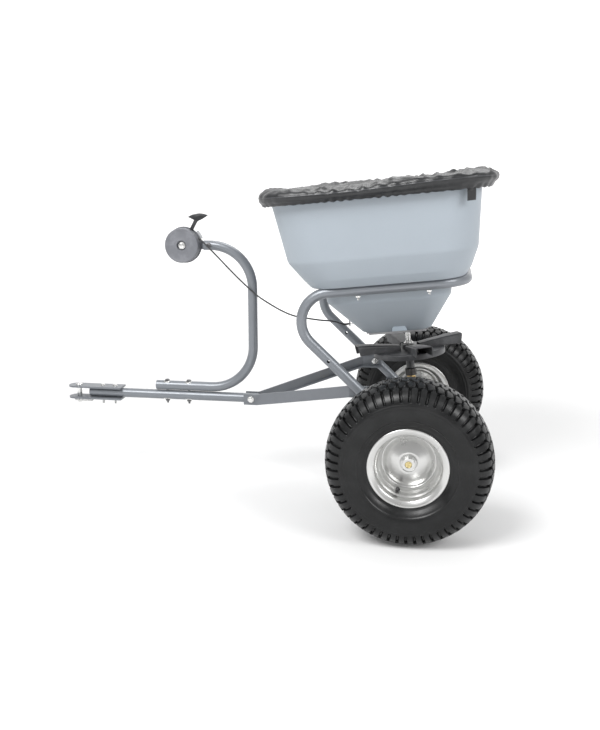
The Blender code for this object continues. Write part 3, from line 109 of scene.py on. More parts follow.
class Tone:
    """A shader number: sums, products and powers of tones add Math nodes."""

    def __init__(self, board: "Board", socket: bpy.types.NodeSocket) -> None:
        """Wraps a socket of a board."""
        self.board = board
        self.socket = socket

    def _with(self, operation: str, *values: "Tone | float") -> "Tone":
        """A Math node of these values, in order."""
        node = self.board.node("ShaderNodeMath", {"operation": operation}, dict(enumerate(values)))
        return Tone(self.board, node.outputs[0])

    def __add__(self, other: "Tone | float") -> "Tone":
        """The sum."""
        return self._with("ADD", self, other)

    def __radd__(self, other: float) -> "Tone":
        """The sum, with the number first."""
        return self._with("ADD", other, self)

    def __sub__(self, other: "Tone | float") -> "Tone":
        """The difference."""
        return self._with("SUBTRACT", self, other)

    def __rsub__(self, other: float) -> "Tone":
        """The number less this tone."""
        return self._with("SUBTRACT", other, self)

    def __mul__(self, other: "Tone | float") -> "Tone":
        """The product."""
        return self._with("MULTIPLY", self, other)

    def __rmul__(self, other: float) -> "Tone":
        """The product, with the number first."""
        return self._with("MULTIPLY", other, self)

    def __pow__(self, other: float) -> "Tone":
        """The power."""
        return self._with("POWER", self, other)

    def above(self, low: float, high: float) -> "Tone":
        """A soft step from 0 at low to 1 at high."""
        node = self.board.node("ShaderNodeMapRange", {"interpolation_type": "SMOOTHSTEP"},
                               {"Value": self, "From Min": low, "From Max": high})
        return Tone(self.board, node.outputs["Result"])


class Board:
    """One material's nodes."""

    def __init__(self, name: str) -> None:
        """Starts a material with a Principled shader that reads Object coordinates."""
        self.material = bpy.data.materials.new(name)
        self.material.use_nodes = True
        self.tree = self.material.node_tree
        self.shader = self.tree.nodes["Principled BSDF"]
        self.place = self.node("ShaderNodeTexCoord", {}, {}).outputs["Object"]

    def node(self, kind: str, settings: dict, inputs: dict) -> bpy.types.Node:
        """Adds a node.

        Args:
            kind: The node's type.
            settings: Its properties, set first; "stops" is a ramp's list of (place, colour).
            inputs: Values or links by socket name or number.

        Returns:
            The node.
        """
        made = self.tree.nodes.new(kind)
        for key, value in settings.items():
            if key == "stops":
                for stop, (place, colour) in zip(made.color_ramp.elements, value):
                    stop.position = place
                    stop.color = (*colour, 1.0)
            else:
                setattr(made, key, value)
        for key, value in inputs.items():
            self.feed(made.inputs[key], value)
        return made

    def feed(self, socket: bpy.types.NodeSocket, value: object) -> None:
        """Links or sets one socket."""
        source = value.socket if isinstance(value, Tone) else value
        if isinstance(source, bpy.types.NodeSocket):
            self.tree.links.new(source, socket)
        else:
            socket.default_value = source

    def stretched(self, scale: Point, place: bpy.types.NodeSocket | None = None) -> bpy.types.NodeSocket:
        """Coordinates multiplied along each axis."""
        node = self.node("ShaderNodeMapping", {}, {"Vector": place or self.place, "Scale": scale})
        return node.outputs["Vector"]

    def noise(self, scale: float, detail: float = 4.0, rough: float = 0.5,
              place: bpy.types.NodeSocket | None = None) -> Tone:
        """Fractal noise from 0 to 1."""
        node = self.node("ShaderNodeTexNoise", {}, {"Vector": place or self.place, "Scale": scale,
                                                    "Detail": detail, "Roughness": rough})
        return Tone(self, node.outputs["Fac"])

    def blend(self, factor: "Tone | float", first: Colour, second: Colour | bpy.types.NodeSocket
              ) -> bpy.types.NodeSocket:
        """A colour between two others."""
        one = (*first, 1.0) if isinstance(first, tuple) else first
        two = (*second, 1.0) if isinstance(second, tuple) else second
        node = self.node("ShaderNodeMix", {"data_type": "RGBA"}, {0: factor, 6: one, 7: two})
        return node.outputs[2]

    def bump(self, height: Tone, strength: float, depth: float) -> None:
        """Gives the shader a bumped normal of this depth in metres."""
        node = self.node("ShaderNodeBump", {}, {"Height": height, "Strength": strength, "Distance": depth})
        self.feed(self.shader.inputs["Normal"], node.outputs["Normal"])

    def dress(self, **sockets: object) -> bpy.types.Material:
        """Sets the shader's sockets, with _ for a space in their names, and returns the material."""
        for key, value in sockets.items():
            self.feed(self.shader.inputs[key.replace("_", " ")], value)
        return self.material


@dataclass(frozen=True)
class Enamel:
    """Baked enamel with a fine metallic flake and a little dust."""

    name: str = "frame enamel"
    dark: Colour = (0.140, 0.151, 0.167)
    light: Colour = (0.216, 0.231, 0.252)
    gloss: float = 0.36

    def material(self) -> bpy.types.Material:
        """The enamel: flake speckle, broad tone drift, orange peel and duller patches."""
        board = Board(self.name)
        flake = board.noise(1900.0, 2.0)
        drift = board.noise(9.0, 3.0)
        colour = board.blend(flake * 0.65 + drift * 0.35, self.dark, self.light)
        dull = board.noise(34.0, 5.0, 0.6).above(0.45, 0.75)
        board.bump(board.noise(520.0, 3.0) + flake * 0.3, 0.16, 0.0004)
        return board.dress(Base_Color=colour, Roughness=self.gloss + dull * 0.12, Metallic=0.35,
                           Coat_Weight=0.25, Coat_Roughness=0.2)


@dataclass(frozen=True)
class Plating:
    """Zinc plate, bright or yellow, with the mottle that the bath leaves."""

    name: str
    low: Colour
    high: Colour
    roughness: float = 0.27

    def material(self) -> bpy.types.Material:
        """The plate: mottled colour and gloss over bare metal."""
        board = Board(self.name)
        mottle = board.noise(240.0, 5.0, 0.62)
        spots = board.noise(60.0, 3.0).above(0.56, 0.74)
        colour = board.blend(mottle.above(0.3, 0.7), self.low, self.high)
        board.bump(mottle, 0.18, 0.0002)
        return board.dress(Base_Color=colour, Roughness=self.roughness + spots * 0.16, Metallic=1.0)


@dataclass(frozen=True)
class SilverPaint:
    """Bright silver wheel paint over pressed steel."""

    name: str = "rim silver"
    low: Colour = (0.57, 0.57, 0.56)
    high: Colour = (0.63, 0.63, 0.62)

    def material(self) -> bpy.types.Material:
        """The paint: a slow drift of tone and gloss, with a trace of fine aluminium grain."""
        board = Board(self.name)
        grain = board.noise(2200.0, 2.0)
        drift = board.noise(26.0, 4.0, 0.6)
        board.bump(grain, 0.02, 0.0001)
        return board.dress(Base_Color=board.blend(grain * 0.15 + drift * 0.85, self.low, self.high),
                           Roughness=0.26 + drift * 0.04, Metallic=0.95, Coat_Weight=0.10,
                           Coat_Roughness=0.12)


@dataclass(frozen=True)
class TyreRubber:
    """Black tyre rubber with pale dust in its texture."""

    name: str = "tyre rubber"
    clean: Colour = (0.0045, 0.0047, 0.0050)
    dusty: Colour = (0.016, 0.0165, 0.017)

    def material(self) -> bpy.types.Material:
        """The rubber: dust in broad patches and in a fine scatter, and a pitted skin."""
        board = Board(self.name)
        patches = board.noise(22.0, 6.0, 0.62).above(0.36, 0.72)
        scatter = board.noise(420.0, 3.0).above(0.50, 0.80)
        dust = patches * 0.55 + scatter * 0.35
        board.bump(board.noise(900.0, 3.0) + board.noise(140.0, 3.0) * 0.6, 0.16, 0.0005)
        return board.dress(Base_Color=board.blend(dust, self.clean, self.dusty),
                           Roughness=0.28 + dust * 0.24, Specular_IOR_Level=0.32)


@dataclass(frozen=True)
class HopperPlastic:
    """Moulded blue-grey polyethylene."""

    name: str = "hopper polyethylene"
    low: Colour = (0.272, 0.307, 0.341)
    high: Colour = (0.312, 0.349, 0.387)
    speck: Colour = (0.20, 0.23, 0.26)

    def material(self) -> bpy.types.Material:
        """The plastic: clouded colour, a few darker specks and a fine moulded grain."""
        board = Board(self.name)
        cloud = board.noise(7.0, 4.0, 0.55)
        fine = board.noise(260.0, 3.0)
        specks = board.noise(900.0, 1.0).above(0.70, 0.80)
        body = board.blend(cloud * 0.7 + fine * 0.3, self.low, self.high)
        board.bump(board.noise(620.0, 3.0) + board.noise(35.0, 2.0) * 0.5, 0.12, 0.0006)
        return board.dress(Base_Color=board.blend(specks * 0.35, body, self.speck),
                           Roughness=0.40 + fine * 0.12, Specular_IOR_Level=0.5)


@dataclass(frozen=True)
class Nylon:
    """Coated nylon cloth: a plain weave with a dull sheen, faded in patches."""

    name: str = "cover nylon"
    low: Colour = (0.0085, 0.009, 0.010)
    high: Colour = (0.022, 0.023, 0.025)
    threads_per_metre: float = 900.0

    def material(self) -> bpy.types.Material:
        """The cloth: warp and weft waves on the piece's own UV, creases and faded areas."""
        board = Board(self.name)
        own = board.node("ShaderNodeUVMap", {"uv_map": "cloth"}, {}).outputs["UV"]
        wave = {"Scale": self.threads_per_metre / (2 * math.pi), "Distortion": 0.6, "Detail": 1.0}
        warp = board.node("ShaderNodeTexWave", {"bands_direction": "X"}, {"Vector": own, **wave})
        weft = board.node("ShaderNodeTexWave", {"bands_direction": "Y"}, {"Vector": own, **wave})
        weave = Tone(board, warp.outputs["Fac"]) * 0.5 + Tone(board, weft.outputs["Fac"]) * 0.5
        creases = board.noise(24.0, 3.0, 0.5, board.stretched((1.0, 1.8, 1.0)))
        fade = board.noise(11.0, 5.0, 0.6).above(0.40, 0.72)
        board.bump(weave * 0.10 + creases, 0.5, 0.0030)
        return board.dress(Base_Color=board.blend(fade * 0.7 + weave * 0.2, self.low, self.high),
                           Roughness=0.24 + creases * 0.16, Sheen_Weight=0.03, Sheen_Roughness=0.4,
                           Specular_IOR_Level=0.5)


@dataclass(frozen=True)
class Plastic:
    """Moulded hard plastic."""

    name: str
    low: Colour
    high: Colour
    roughness: float = 0.38

    def material(self) -> bpy.types.Material:
        """The plastic: a leathery moulded grain, with paler rubbed areas."""
        board = Board(self.name)
        rubbed = board.noise(48.0, 5.0, 0.6).above(0.42, 0.78)
        grain = board.noise(1100.0, 2.0)
        board.bump(grain + board.noise(90.0, 3.0) * 0.5, 0.16, 0.0004)
        return board.dress(Base_Color=board.blend(rubbed, self.low, self.high),
                           Roughness=self.roughness + grain * 0.14)


@dataclass(frozen=True)
class Machined:
    """Turned or cut metal with faint tool marks."""

    name: str
    low: Colour
    high: Colour

    def material(self) -> bpy.types.Material:
        """The metal: fine scratches and oil-dark patches."""
        board = Board(self.name)
        marks = board.noise(700.0, 2.0)
        oil = board.noise(40.0, 4.0).above(0.45, 0.7)
        board.bump(marks, 0.15, 0.0003)
        return board.dress(Base_Color=board.blend(oil * 0.6 + marks * 0.4, self.high, self.low),
                           Roughness=0.30 + marks * 0.18, Metallic=1.0)


@dataclass(frozen=True)
class StudioFloor:
    """The pale floor that the machine stands on."""

    name: str = "studio floor"

    def material(self) -> bpy.types.Material:
        """A matt floor, pale grey by the machine and paler and faintly glowing beyond 3 m."""
        board = Board(self.name)
        drift = board.noise(1.2, 2.0)
        length = board.node("ShaderNodeVectorMath", {"operation": "LENGTH"}, {0: board.place})
        away = Tone(board, length.outputs["Value"]).above(1.0, 3.0)
        pale = board.blend(away, (0.70, 0.70, 0.70), (0.88, 0.88, 0.88))
        return board.dress(Base_Color=board.blend(drift * 0.1, pale, (0.80, 0.80, 0.80)),
                           Roughness=0.8, Specular_IOR_Level=0.1,
                           Emission_Color=board.blend(away, (0.12, 0.12, 0.12), (1.0, 1.0, 1.0)),
                           Emission_Strength=0.48)


@dataclass
class Finishes:
    """Every finish of the machine, made once."""

    enamel: bpy.types.Material = field(default_factory=lambda: Enamel().material())
    brace_enamel: bpy.types.Material = field(default_factory=lambda: Enamel(
        "brace enamel", (0.120, 0.129, 0.143), (0.185, 0.197, 0.215), 0.42).material())
    zinc: bpy.types.Material = field(default_factory=lambda: Plating(
        "zinc plate", (0.58, 0.58, 0.57), (0.80, 0.80, 0.79)).material())
    # A darker copy of the zinc plate, for the arm bolts, the bracket bolt and the cable bracket; on the
    # bracket bolt its darkness is painted shade, standing in for the dark open end of the arm.
    dark_zinc: bpy.types.Material = field(default_factory=lambda: Plating(
        "dark zinc plate", (0.12, 0.12, 0.125), (0.24, 0.24, 0.245), 0.42).material())
    yellow_zinc: bpy.types.Material = field(default_factory=lambda: Plating(
        "yellow zinc plate", (0.52, 0.40, 0.17), (0.74, 0.63, 0.34), 0.30).material())
    silver: bpy.types.Material = field(default_factory=lambda: SilverPaint().material())
    rubber: bpy.types.Material = field(default_factory=lambda: TyreRubber().material())
    hopper: bpy.types.Material = field(default_factory=lambda: HopperPlastic().material())
    # A lighter copy of the hopper plastic for the funnel bosses, which are moulded with the hopper: the extra
    # lightness is painted light.
    boss: bpy.types.Material = field(default_factory=lambda: HopperPlastic(
        "boss polyethylene", (0.34, 0.40, 0.46), (0.38, 0.445, 0.50)).material())
    nylon: bpy.types.Material = field(default_factory=lambda: Nylon().material())
    # The piping bead is real, but its lighter copy of the cover nylon is a painted highlight along the rim
    # edge.
    piping: bpy.types.Material = field(default_factory=lambda: Nylon(
        "cover piping", (0.030, 0.031, 0.034), (0.060, 0.062, 0.066)).material())
    black: bpy.types.Material = field(default_factory=lambda: Plastic(
        "black plastic", (0.018, 0.0185, 0.020), (0.040, 0.041, 0.044), 0.34).material())
    impeller: bpy.types.Material = field(default_factory=lambda: Plastic(
        "impeller plastic", (0.034, 0.035, 0.038), (0.075, 0.077, 0.081), 0.36).material())
    grey: bpy.types.Material = field(default_factory=lambda: Plastic(
        "grey plastic", (0.135, 0.140, 0.155), (0.185, 0.190, 0.208), 0.40).material())
    pale: bpy.types.Material = field(default_factory=lambda: Plastic(
        "pale plastic", (0.42, 0.43, 0.44), (0.50, 0.51, 0.52), 0.45).material())
    sheath: bpy.types.Material = field(default_factory=lambda: Plastic(
        "cable sheath", (0.035, 0.036, 0.038), (0.07, 0.07, 0.073), 0.42).material())
    black_steel: bpy.types.Material = field(default_factory=lambda: Machined(
        "blackened steel", (0.030, 0.029, 0.028), (0.085, 0.082, 0.080)).material())
    brass: bpy.types.Material = field(default_factory=lambda: Machined(
        "turned brass", (0.42, 0.28, 0.10), (0.76, 0.57, 0.28)).material())
    steel: bpy.types.Material = field(default_factory=lambda: Machined(
        "gear steel", (0.16, 0.16, 0.165), (0.42, 0.42, 0.43)).material())


# ---------------------------------------------------------------- surfaces


def unit(vector: Array) -> Array:
    """Vectors at length 1."""
    return vector / np.linalg.norm(vector, axis=-1, keepdims=True)


@dataclass(frozen=True)
class Basis:
    """A place and three square directions: across, aside and along."""

    origin: Array
    across: Array
    aside: Array
    along: Array

    @staticmethod
    def at(origin: Sequence[float], along: Sequence[float],
           near: Sequence[float] = (1.0, 0.0, 0.0)) -> "Basis":
        """A basis whose along is given, and whose across lies as near to another direction as it can."""
        ahead = unit(np.asarray(along, float))
        hint = np.asarray(near, float)
        if abs(hint @ ahead) > 0.9 * np.linalg.norm(hint):
            hint = np.array((0.0, 1.0, 0.0)) if abs(ahead[1]) < 0.9 else np.array((0.0, 0.0, 1.0))
        across = unit(hint - ahead * (hint @ ahead))
        return Basis(np.asarray(origin, float), across, np.cross(ahead, across), ahead)

    def put(self, x: Array, y: Array, z: Array) -> Array:
        """Points from their three coordinates in this basis."""
        x, y, z = np.broadcast_arrays(x, y, z)
        return (self.origin + x[..., None] * self.across + y[..., None] * self.aside
                + z[..., None] * self.along)


AXLE_LOW, AXLE_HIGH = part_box("axle")
AXLE = ((AXLE_LOW.x + AXLE_HIGH.x) / 2, 0.0, (AXLE_LOW.z + AXLE_HIGH.z) / 2)
SHAFT_AXIS = next(tuple(joint["axis"]) for joint in frame["joints"] if joint["name"] == "spinner_spin")
DECK = Basis(np.array(AXLE), np.array((SHAFT_AXIS[2], 0.0, -SHAFT_AXIS[0])), np.eye(3)[1],
             np.array(SHAFT_AXIS))


def deck_at(u: float, y: float, w: float) -> Array:
    """One point of the tilted deck: u rearwards, w up along the spinner shaft."""
    return DECK.put(np.array(u), np.array(y), np.array(w))


def grid_mesh(name: str, points: Array, wrap_rows: bool = False, wrap_columns: bool = False,
              caps: bool = False, uv: Array | None = None) -> bpy.types.Mesh:
    """A mesh of quads through a grid of points.

    Args:
        name: The mesh's name.
        points: Rows of columns of points.
        wrap_rows: Whether the last row joins the first.
        wrap_columns: Whether the last column joins the first.
        caps: Whether the first and the last row are closed with a face each.
        uv: One UV pair a point, for the map named cloth.

    Returns:
        The mesh, its faces outwards wherever it is closed.
    """
    rows, columns = points.shape[:2]
    i = np.arange(rows if wrap_rows else rows - 1)[:, None]
    j = np.arange(columns if wrap_columns else columns - 1)[None, :]
    below, right = (i + 1) % rows, (j + 1) % columns
    corners = (i * columns + j, below * columns + j, below * columns + right, i * columns + right)
    faces = np.stack(np.broadcast_arrays(*corners), -1).reshape(-1, 4).tolist()
    if caps:
        faces.append(list(range(columns)))
        faces.append(list(range((rows - 1) * columns, rows * columns))[::-1])
    mesh = bpy.data.meshes.new(name)
    mesh.from_pydata(points.reshape(-1, 3).tolist(), [], faces)
    if uv is not None:
        ends = np.empty(len(mesh.loops), np.int32)
        mesh.loops.foreach_get("vertex_index", ends)
        layer = mesh.uv_layers.new(name="cloth")
        layer.data.foreach_set("uv", uv.reshape(-1, 2)[ends].astype(np.float32).ravel())
    return mesh


def outwards(mesh: bpy.types.Mesh) -> bpy.types.Mesh:
    """Turns a closed mesh's faces outwards."""
    work = bmesh.new()
    work.from_mesh(mesh)
    bmesh.ops.recalc_face_normals(work, faces=work.faces)
    work.to_mesh(mesh)
    work.free()
    return mesh


def joined(name: str, meshes: Iterable[bpy.types.Mesh]) -> bpy.types.Mesh:
    """One mesh of several."""
    work = bmesh.new()
    for mesh in meshes:
        work.from_mesh(mesh)
    whole = bpy.data.meshes.new(name)
    work.to_mesh(whole)
    work.free()
    return whole


def filleted(corners: Sequence[Sequence[float]], radii: Sequence[float], turn_step: float = 6.0) -> Array:
    """A path through corners of any dimension, each inner corner an arc of its radius.

    Each arc starts on the incoming line at radius times tan(half the turn) before the corner, and
    its points are start + incoming * r sin(a) + inward * r (1 - cos(a)).

    Args:
        corners: The corner points.
        radii: One radius for each inner corner.
        turn_step: Degrees between the arc's points.

    Returns:
        The path's points.
    """
    points = np.asarray(corners, float)
    path = [points[:1]]
    for before, corner, after, radius in zip(points, points[1:], points[2:], radii):
        arriving, leaving = unit(corner - before), unit(after - corner)
        turn = math.acos(float(np.clip(arriving @ leaving, -1.0, 1.0)))
        inward = unit(leaving - arriving * (arriving @ leaving))
        start = corner - arriving * radius * math.tan(turn / 2)
        a = np.linspace(0.0, turn, max(4, round(math.degrees(turn) / turn_step)))[:, None]
        path.append(start + arriving * radius * np.sin(a) + inward * radius * (1 - np.cos(a)))
    path.append(points[-1:])
    return np.concatenate(path)


def smooth_through(points: Array, pieces: int) -> Array:
    """A curve through points by Catmull-Rom pieces: cubics with the slope of each point's neighbours."""
    ends = np.vstack([2 * points[0] - points[1], points, 2 * points[-1] - points[-2]])
    t = np.linspace(0.0, 1.0, pieces, endpoint=False)[None, :, None]
    a, b, c, d = (ends[i:len(ends) - 3 + i, None, :] for i in range(4))
    curve = 0.5 * (2 * b + (c - a) * t + (2 * a - 5 * b + 4 * c - d) * t ** 2
                   + (3 * b - a - 3 * c + d) * t ** 3)
    return np.vstack([curve.reshape(-1, points.shape[1]), points[-1]])


def carried_ring(path: Array, sides: int) -> tuple[Array, Array]:
    """Two square directions at each point of a path, turned as little as possible from one to the next.

    Args:
        path: The path's points.
        sides: How many points each ring will have.

    Returns:
        The unit circle's points carried along the path as (points, sides, 3), and the tangents.
    """
    tangents = unit(np.gradient(path, axis=0))
    across = np.empty_like(path)
    hint = np.array((0.0, 1.0, 0.0)) if abs(tangents[0][1]) < 0.9 else np.array((1.0, 0.0, 0.0))
    for i, tangent in enumerate(tangents):
        hint = unit(hint - tangent * (hint @ tangent))
        across[i] = hint
    aside = np.cross(tangents, across)
    a = np.linspace(0.0, 2 * math.pi, sides, endpoint=False)[None, :, None]
    return np.cos(a) * across[:, None] + np.sin(a) * aside[:, None], tangents


def pipe(name: str, path: Array, radius: float, wall: float, sides: int = 32) -> bpy.types.Mesh:
    """A tube with open ends: the circle of its outside carried along a path, and its inside back again."""
    ring, _ = carried_ring(path, sides)
    outside = path[:, None] + ring * radius
    inside = (path[:, None] + ring * (radius - wall))[::-1]
    return outwards(grid_mesh(name, np.concatenate([outside, inside]), wrap_rows=True, wrap_columns=True))


def bar(name: str, path: Array, radius: float | Array, sides: int = 16) -> bpy.types.Mesh:
    """A round bar: a circle carried along a path, its radius one number or one a point, with closed ends."""
    ring, tangents = carried_ring(path, sides)
    size = np.broadcast_to(np.asarray(radius, float), (len(path),))[:, None, None]
    easing = np.array((0.55, 0.85))[:, None, None]
    start = (path[0] + ring[:1] * size[0] * easing
             - tangents[0] * size[0] * np.array((0.25, 0.15))[:, None, None])
    end = (path[-1] + ring[-1:] * size[-1] * easing[::-1]
           + tangents[-1] * size[-1] * np.array((0.15, 0.25))[:, None, None])
    points = np.concatenate([start, path[:, None] + ring * size, end])
    return outwards(grid_mesh(name, points, wrap_columns=True, caps=True))


def turned(name: str, profile: Array, basis: Basis, steps: int = 96, closed: bool = True,
           swell: Callable[[Array, Array, Array], Array] | None = None) -> bpy.types.Mesh:
    """A turned shape: each (radius, along) of a profile is swung round the basis's along.

    Args:
        name: The mesh's name.
        profile: The profile's (radius, along) points.
        basis: Where the axis is.
        steps: Points a turn.
        closed: Whether the profile closes on itself, as a ring does; otherwise its ends are capped.
        swell: Adds to the radius from (radius, along, angle).

    Returns:
        The mesh.
    """
    angle = np.linspace(0.0, 2 * math.pi, steps, endpoint=False)[None, :]
    radius = np.repeat(profile[:, :1], steps, 1)
    along = np.repeat(profile[:, 1:], steps, 1)
    if swell is not None:
        radius = radius + swell(radius, along, angle)
    points = basis.put(radius * np.cos(angle), radius * np.sin(angle), along)
    return outwards(grid_mesh(name, points, wrap_rows=closed, wrap_columns=True, caps=not closed))


def prism(name: str, outline: Array, basis: Basis, low: float, high: float) -> bpy.types.Mesh:
    """An outline of (across, aside) points carried from low to high along a basis."""
    rows = [basis.put(outline[:, 0], outline[:, 1], np.full(len(outline), z)) for z in (low, high)]
    return outwards(grid_mesh(name, np.stack(rows), wrap_columns=True, caps=True))


def show(name: str, mesh: bpy.types.Mesh, material: bpy.types.Material, body: Body,
         stands_for: Sequence[str] = (), smooth: float = 40.0) -> bpy.types.Object:
    """Puts a finished mesh in the scene on its body.

    Args:
        name: The piece's name.
        mesh: Its mesh, already in place.
        material: Its finish.
        body: The body that it rides on.
        stands_for: The CAD nodes that it replaces.
        smooth: Edges sharper than this many degrees stay sharp.

    Returns:
        The object.
    """
    piece = bpy.data.objects.new(name, mesh)
    bpy.context.scene.collection.objects.link(piece)
    mesh.materials.clear()
    mesh.materials.append(material)
    mesh.shade_smooth()
    mesh.set_sharp_from_angle(angle=math.radians(smooth))
    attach(piece, body.value)
    if stands_for:
        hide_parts(*stands_for)
    return piece


def eased(piece: bpy.types.Object, width: float, segments: int = 2) -> bpy.types.Object:
    """Rounds a piece's sharp edges."""
    bevel = piece.modifiers.new("eased edges", "BEVEL")
    bevel.width = width
    bevel.segments = segments
    bevel.limit_method = "ANGLE"
    bevel.angle_limit = math.radians(30.0)
    bevel.harden_normals = True
    return piece


def eased_copy(node: str, material: bpy.types.Material, body: Body, width: float
               ) -> bpy.types.Object:
    """Stands a copy of a CAD node, welded and with rounded edges, in its place."""
    work = bmesh.new()
    work.from_mesh(frame["nodes"][node].data)
    bmesh.ops.remove_doubles(work, verts=work.verts, dist=0.00002)
    bmesh.ops.dissolve_limit(work, angle_limit=math.radians(2.0), verts=work.verts, edges=work.edges)
    mesh = bpy.data.meshes.new(node)
    work.to_mesh(mesh)
    work.free()
    return eased(show(f"{node}_eased", mesh, material, body, (node,), 32.0), width)


def drilled(piece: bpy.types.Object, cutters: Iterable[bpy.types.Mesh]) -> bpy.types.Object:
    """Cuts closed meshes out of a piece for good."""
    helpers = []
    for cutter in cutters:
        helper = bpy.data.objects.new("drill", cutter)
        bpy.context.scene.collection.objects.link(helper)
        helpers.append(helper)
        step = piece.modifiers.new("drill", "BOOLEAN")
        step.object = helper
        step.solver = "EXACT"
    bpy.context.view_layer.update()
    graph = bpy.context.evaluated_depsgraph_get()
    done = bpy.data.meshes.new_from_object(piece.evaluated_get(graph))
    piece.modifiers.clear()
    piece.data = done
    for helper in helpers:
        bpy.data.objects.remove(helper, do_unlink=True)
    return piece


def dress_node(node: str, material: bpy.types.Material) -> None:
    """Gives a CAD node that stays in view its finish."""
    mesh = frame["nodes"][node].data
    mesh.materials.clear()
    mesh.materials.append(material)


def ripple(rng: np.random.Generator, around: Array, inward: Array, waves: int, lowest: int, highest: int
           ) -> Array:
    """Smooth wandering folds: sines of the way round, each with its own count, phase and slant inwards."""
    counts = rng.integers(lowest, highest, waves)
    phases = rng.uniform(0.0, 2 * math.pi, waves)
    slants = rng.uniform(-1.0, 1.0, waves) * 3.0
    weights = rng.uniform(0.5, 1.0, waves)
    total = sum(weight * np.sin(2 * math.pi * count * around + phase + slant * inward * count ** 0.5)
                for count, phase, slant, weight in zip(counts, phases, slants, weights))
    return total / weights.sum()


def spans(node: str, basis: Basis) -> tuple[Array, Array]:
    """A CAD node's lowest and highest coordinates in a basis."""
    mesh = frame["nodes"][node].data
    points = np.empty(len(mesh.vertices) * 3)
    mesh.vertices.foreach_get("co", points)
    offsets = points.reshape(-1, 3) - basis.origin
    inside = offsets @ np.stack([basis.across, basis.aside, basis.along], 1)
    return inside.min(0), inside.max(0)


def grid_normals(points: Array) -> Array:
    """Unit normals of a grid whose columns wrap: the cross product of its two slopes."""
    down = np.gradient(points, axis=0)
    round_it = (np.roll(points, -1, 1) - np.roll(points, 1, 1)) / 2
    return unit(np.cross(round_it, down) + 1e-12)


def rounded_rings(levels: Array, per_corner: int, per_side: int) -> tuple[Array, Array]:
    """Rings of rounded rectangles: quarter circles at four corner centres, with straight points between.

    Args:
        levels: Rows of (front, rear, half width, corner radius).
        per_corner: Points on each quarter circle.
        per_side: Points on each straight stretch.

    Returns:
        The rings' across and aside coordinates.
    """
    front, rear, half, corner = (levels[:, i, None] for i in range(4))
    quarter = np.linspace(0.0, math.pi / 2, per_corner)
    signs = ((1, 1), (-1, 1), (-1, -1), (1, -1))
    arcs = []
    for turn, (ahead, aside) in enumerate(signs):
        a = quarter + turn * math.pi / 2
        middle = rear - corner if ahead > 0 else front + corner
        arcs.append((middle + corner * np.cos(a), aside * (half - corner) + corner * np.sin(a)))
    share = np.linspace(0.0, 1.0, per_side + 2)[None, 1:-1]
    across, along = [], []
    for (x, y), (next_x, next_y) in zip(arcs, arcs[1:] + arcs[:1]):
        across += [x, x[:, -1:] + (next_x[:, :1] - x[:, -1:]) * share]
        along += [y, y[:, -1:] + (next_y[:, :1] - y[:, -1:]) * share]
    return np.concatenate(across, 1), np.concatenate(along, 1)


def loop_bar(name: str, path: Array, radius: float, up: Array, sides: int = 8) -> bpy.types.Mesh:
    """A round bar along a closed path: circles square to the path, measured from a fixed up direction."""
    tangents = unit(np.roll(path, -1, 0) - np.roll(path, 1, 0))
    outward = unit(np.cross(tangents, up))
    upward = np.cross(outward, tangents)
    a = np.linspace(0.0, 2 * math.pi, sides, endpoint=False)[None, :, None]
    ring = np.cos(a) * outward[:, None] + np.sin(a) * upward[:, None]
    return outwards(grid_mesh(name, path[:, None] + ring * radius, wrap_rows=True, wrap_columns=True))


# ---------------------------------------------------------------- fasteners


@dataclass
class Bolt:
    """A hexagon bolt on a CAD bolt's place: chamfered head with a flange, nut, and a threaded tail."""

    node: str
    direction: Sequence[float]
    body: Body = Body.CHASSIS
    radius: float = 0.0031
    tail: float = 0.006
    nut: bool = True
    dark: bool = False
    pitch: float = 0.00125
    sides: int = 36

    def mesh(self) -> bpy.types.Mesh:
        """Rings along the bolt, each the smaller of a circle and a hexagon, with a helical thread."""
        basis = Basis.at((0.0, 0.0, 0.0), self.direction)
        low, high = spans(self.node, basis)
        flats, deep = 1.75 * self.radius, 1.45 * self.radius
        start = low[2] + deep
        grip = high[2] - low[2] - 2 * deep - self.tail if self.nut else high[2] - start
        plain = 9.0
        head = [(-deep, 0.30, plain), (-deep, 0.84, plain),
                (-0.94 * deep, 0.99, 1.0), (-0.80 * deep, 1.16, 1.0),
                (-0.24 * deep, 1.16, 1.0), (-0.20 * deep, 1.28, plain), (-0.04 * deep, 1.33, plain),
                (0.0, 1.30, plain)]
        nut = [(0.0, 1.16, 1.0), (0.06 * deep, 1.16, 1.0), (0.78 * deep, 1.16, 1.0), (0.96 * deep, 0.98, 1.0),
               (deep, 0.86, plain)]
        rings = [(z, r * flats, h * flats, 0.0) for z, r, h in head]
        rings += [(0.0, self.radius, plain, 0.0), (grip, self.radius, plain, 0.0)]
        if self.nut:
            rings += [(grip + z, r * flats, h * flats, 0.0) for z, r, h in nut]
            count = max(4, round(self.tail / self.pitch * 6))
            tail = np.linspace(grip + deep, grip + deep + self.tail - 0.0006, count)
            rings += [(z, self.radius, plain, 1.0) for z in tail]
            rings += [(grip + deep + self.tail, 0.74 * self.radius, plain, 0.0)]
        z, round_size, hex_size, thread = (np.array(column)[:, None] for column in zip(*rings))
        angle = np.linspace(0.0, 2 * math.pi, self.sides, endpoint=False)[None, :]
        off_flat = (angle + math.pi / 6) % (math.pi / 3) - math.pi / 6
        helix = np.abs(2 * ((z / self.pitch - angle / (2 * math.pi)) % 1.0) - 1.0)
        radius = np.minimum(round_size, hex_size / np.cos(off_flat)) - thread * helix * 0.16 * self.radius
        x, y = (low[0] + high[0]) / 2, (low[1] + high[1]) / 2
        points = basis.put(x + radius * np.cos(angle), y + radius * np.sin(angle), start + z)
        return outwards(grid_mesh(self.node, points, wrap_columns=True, caps=True))


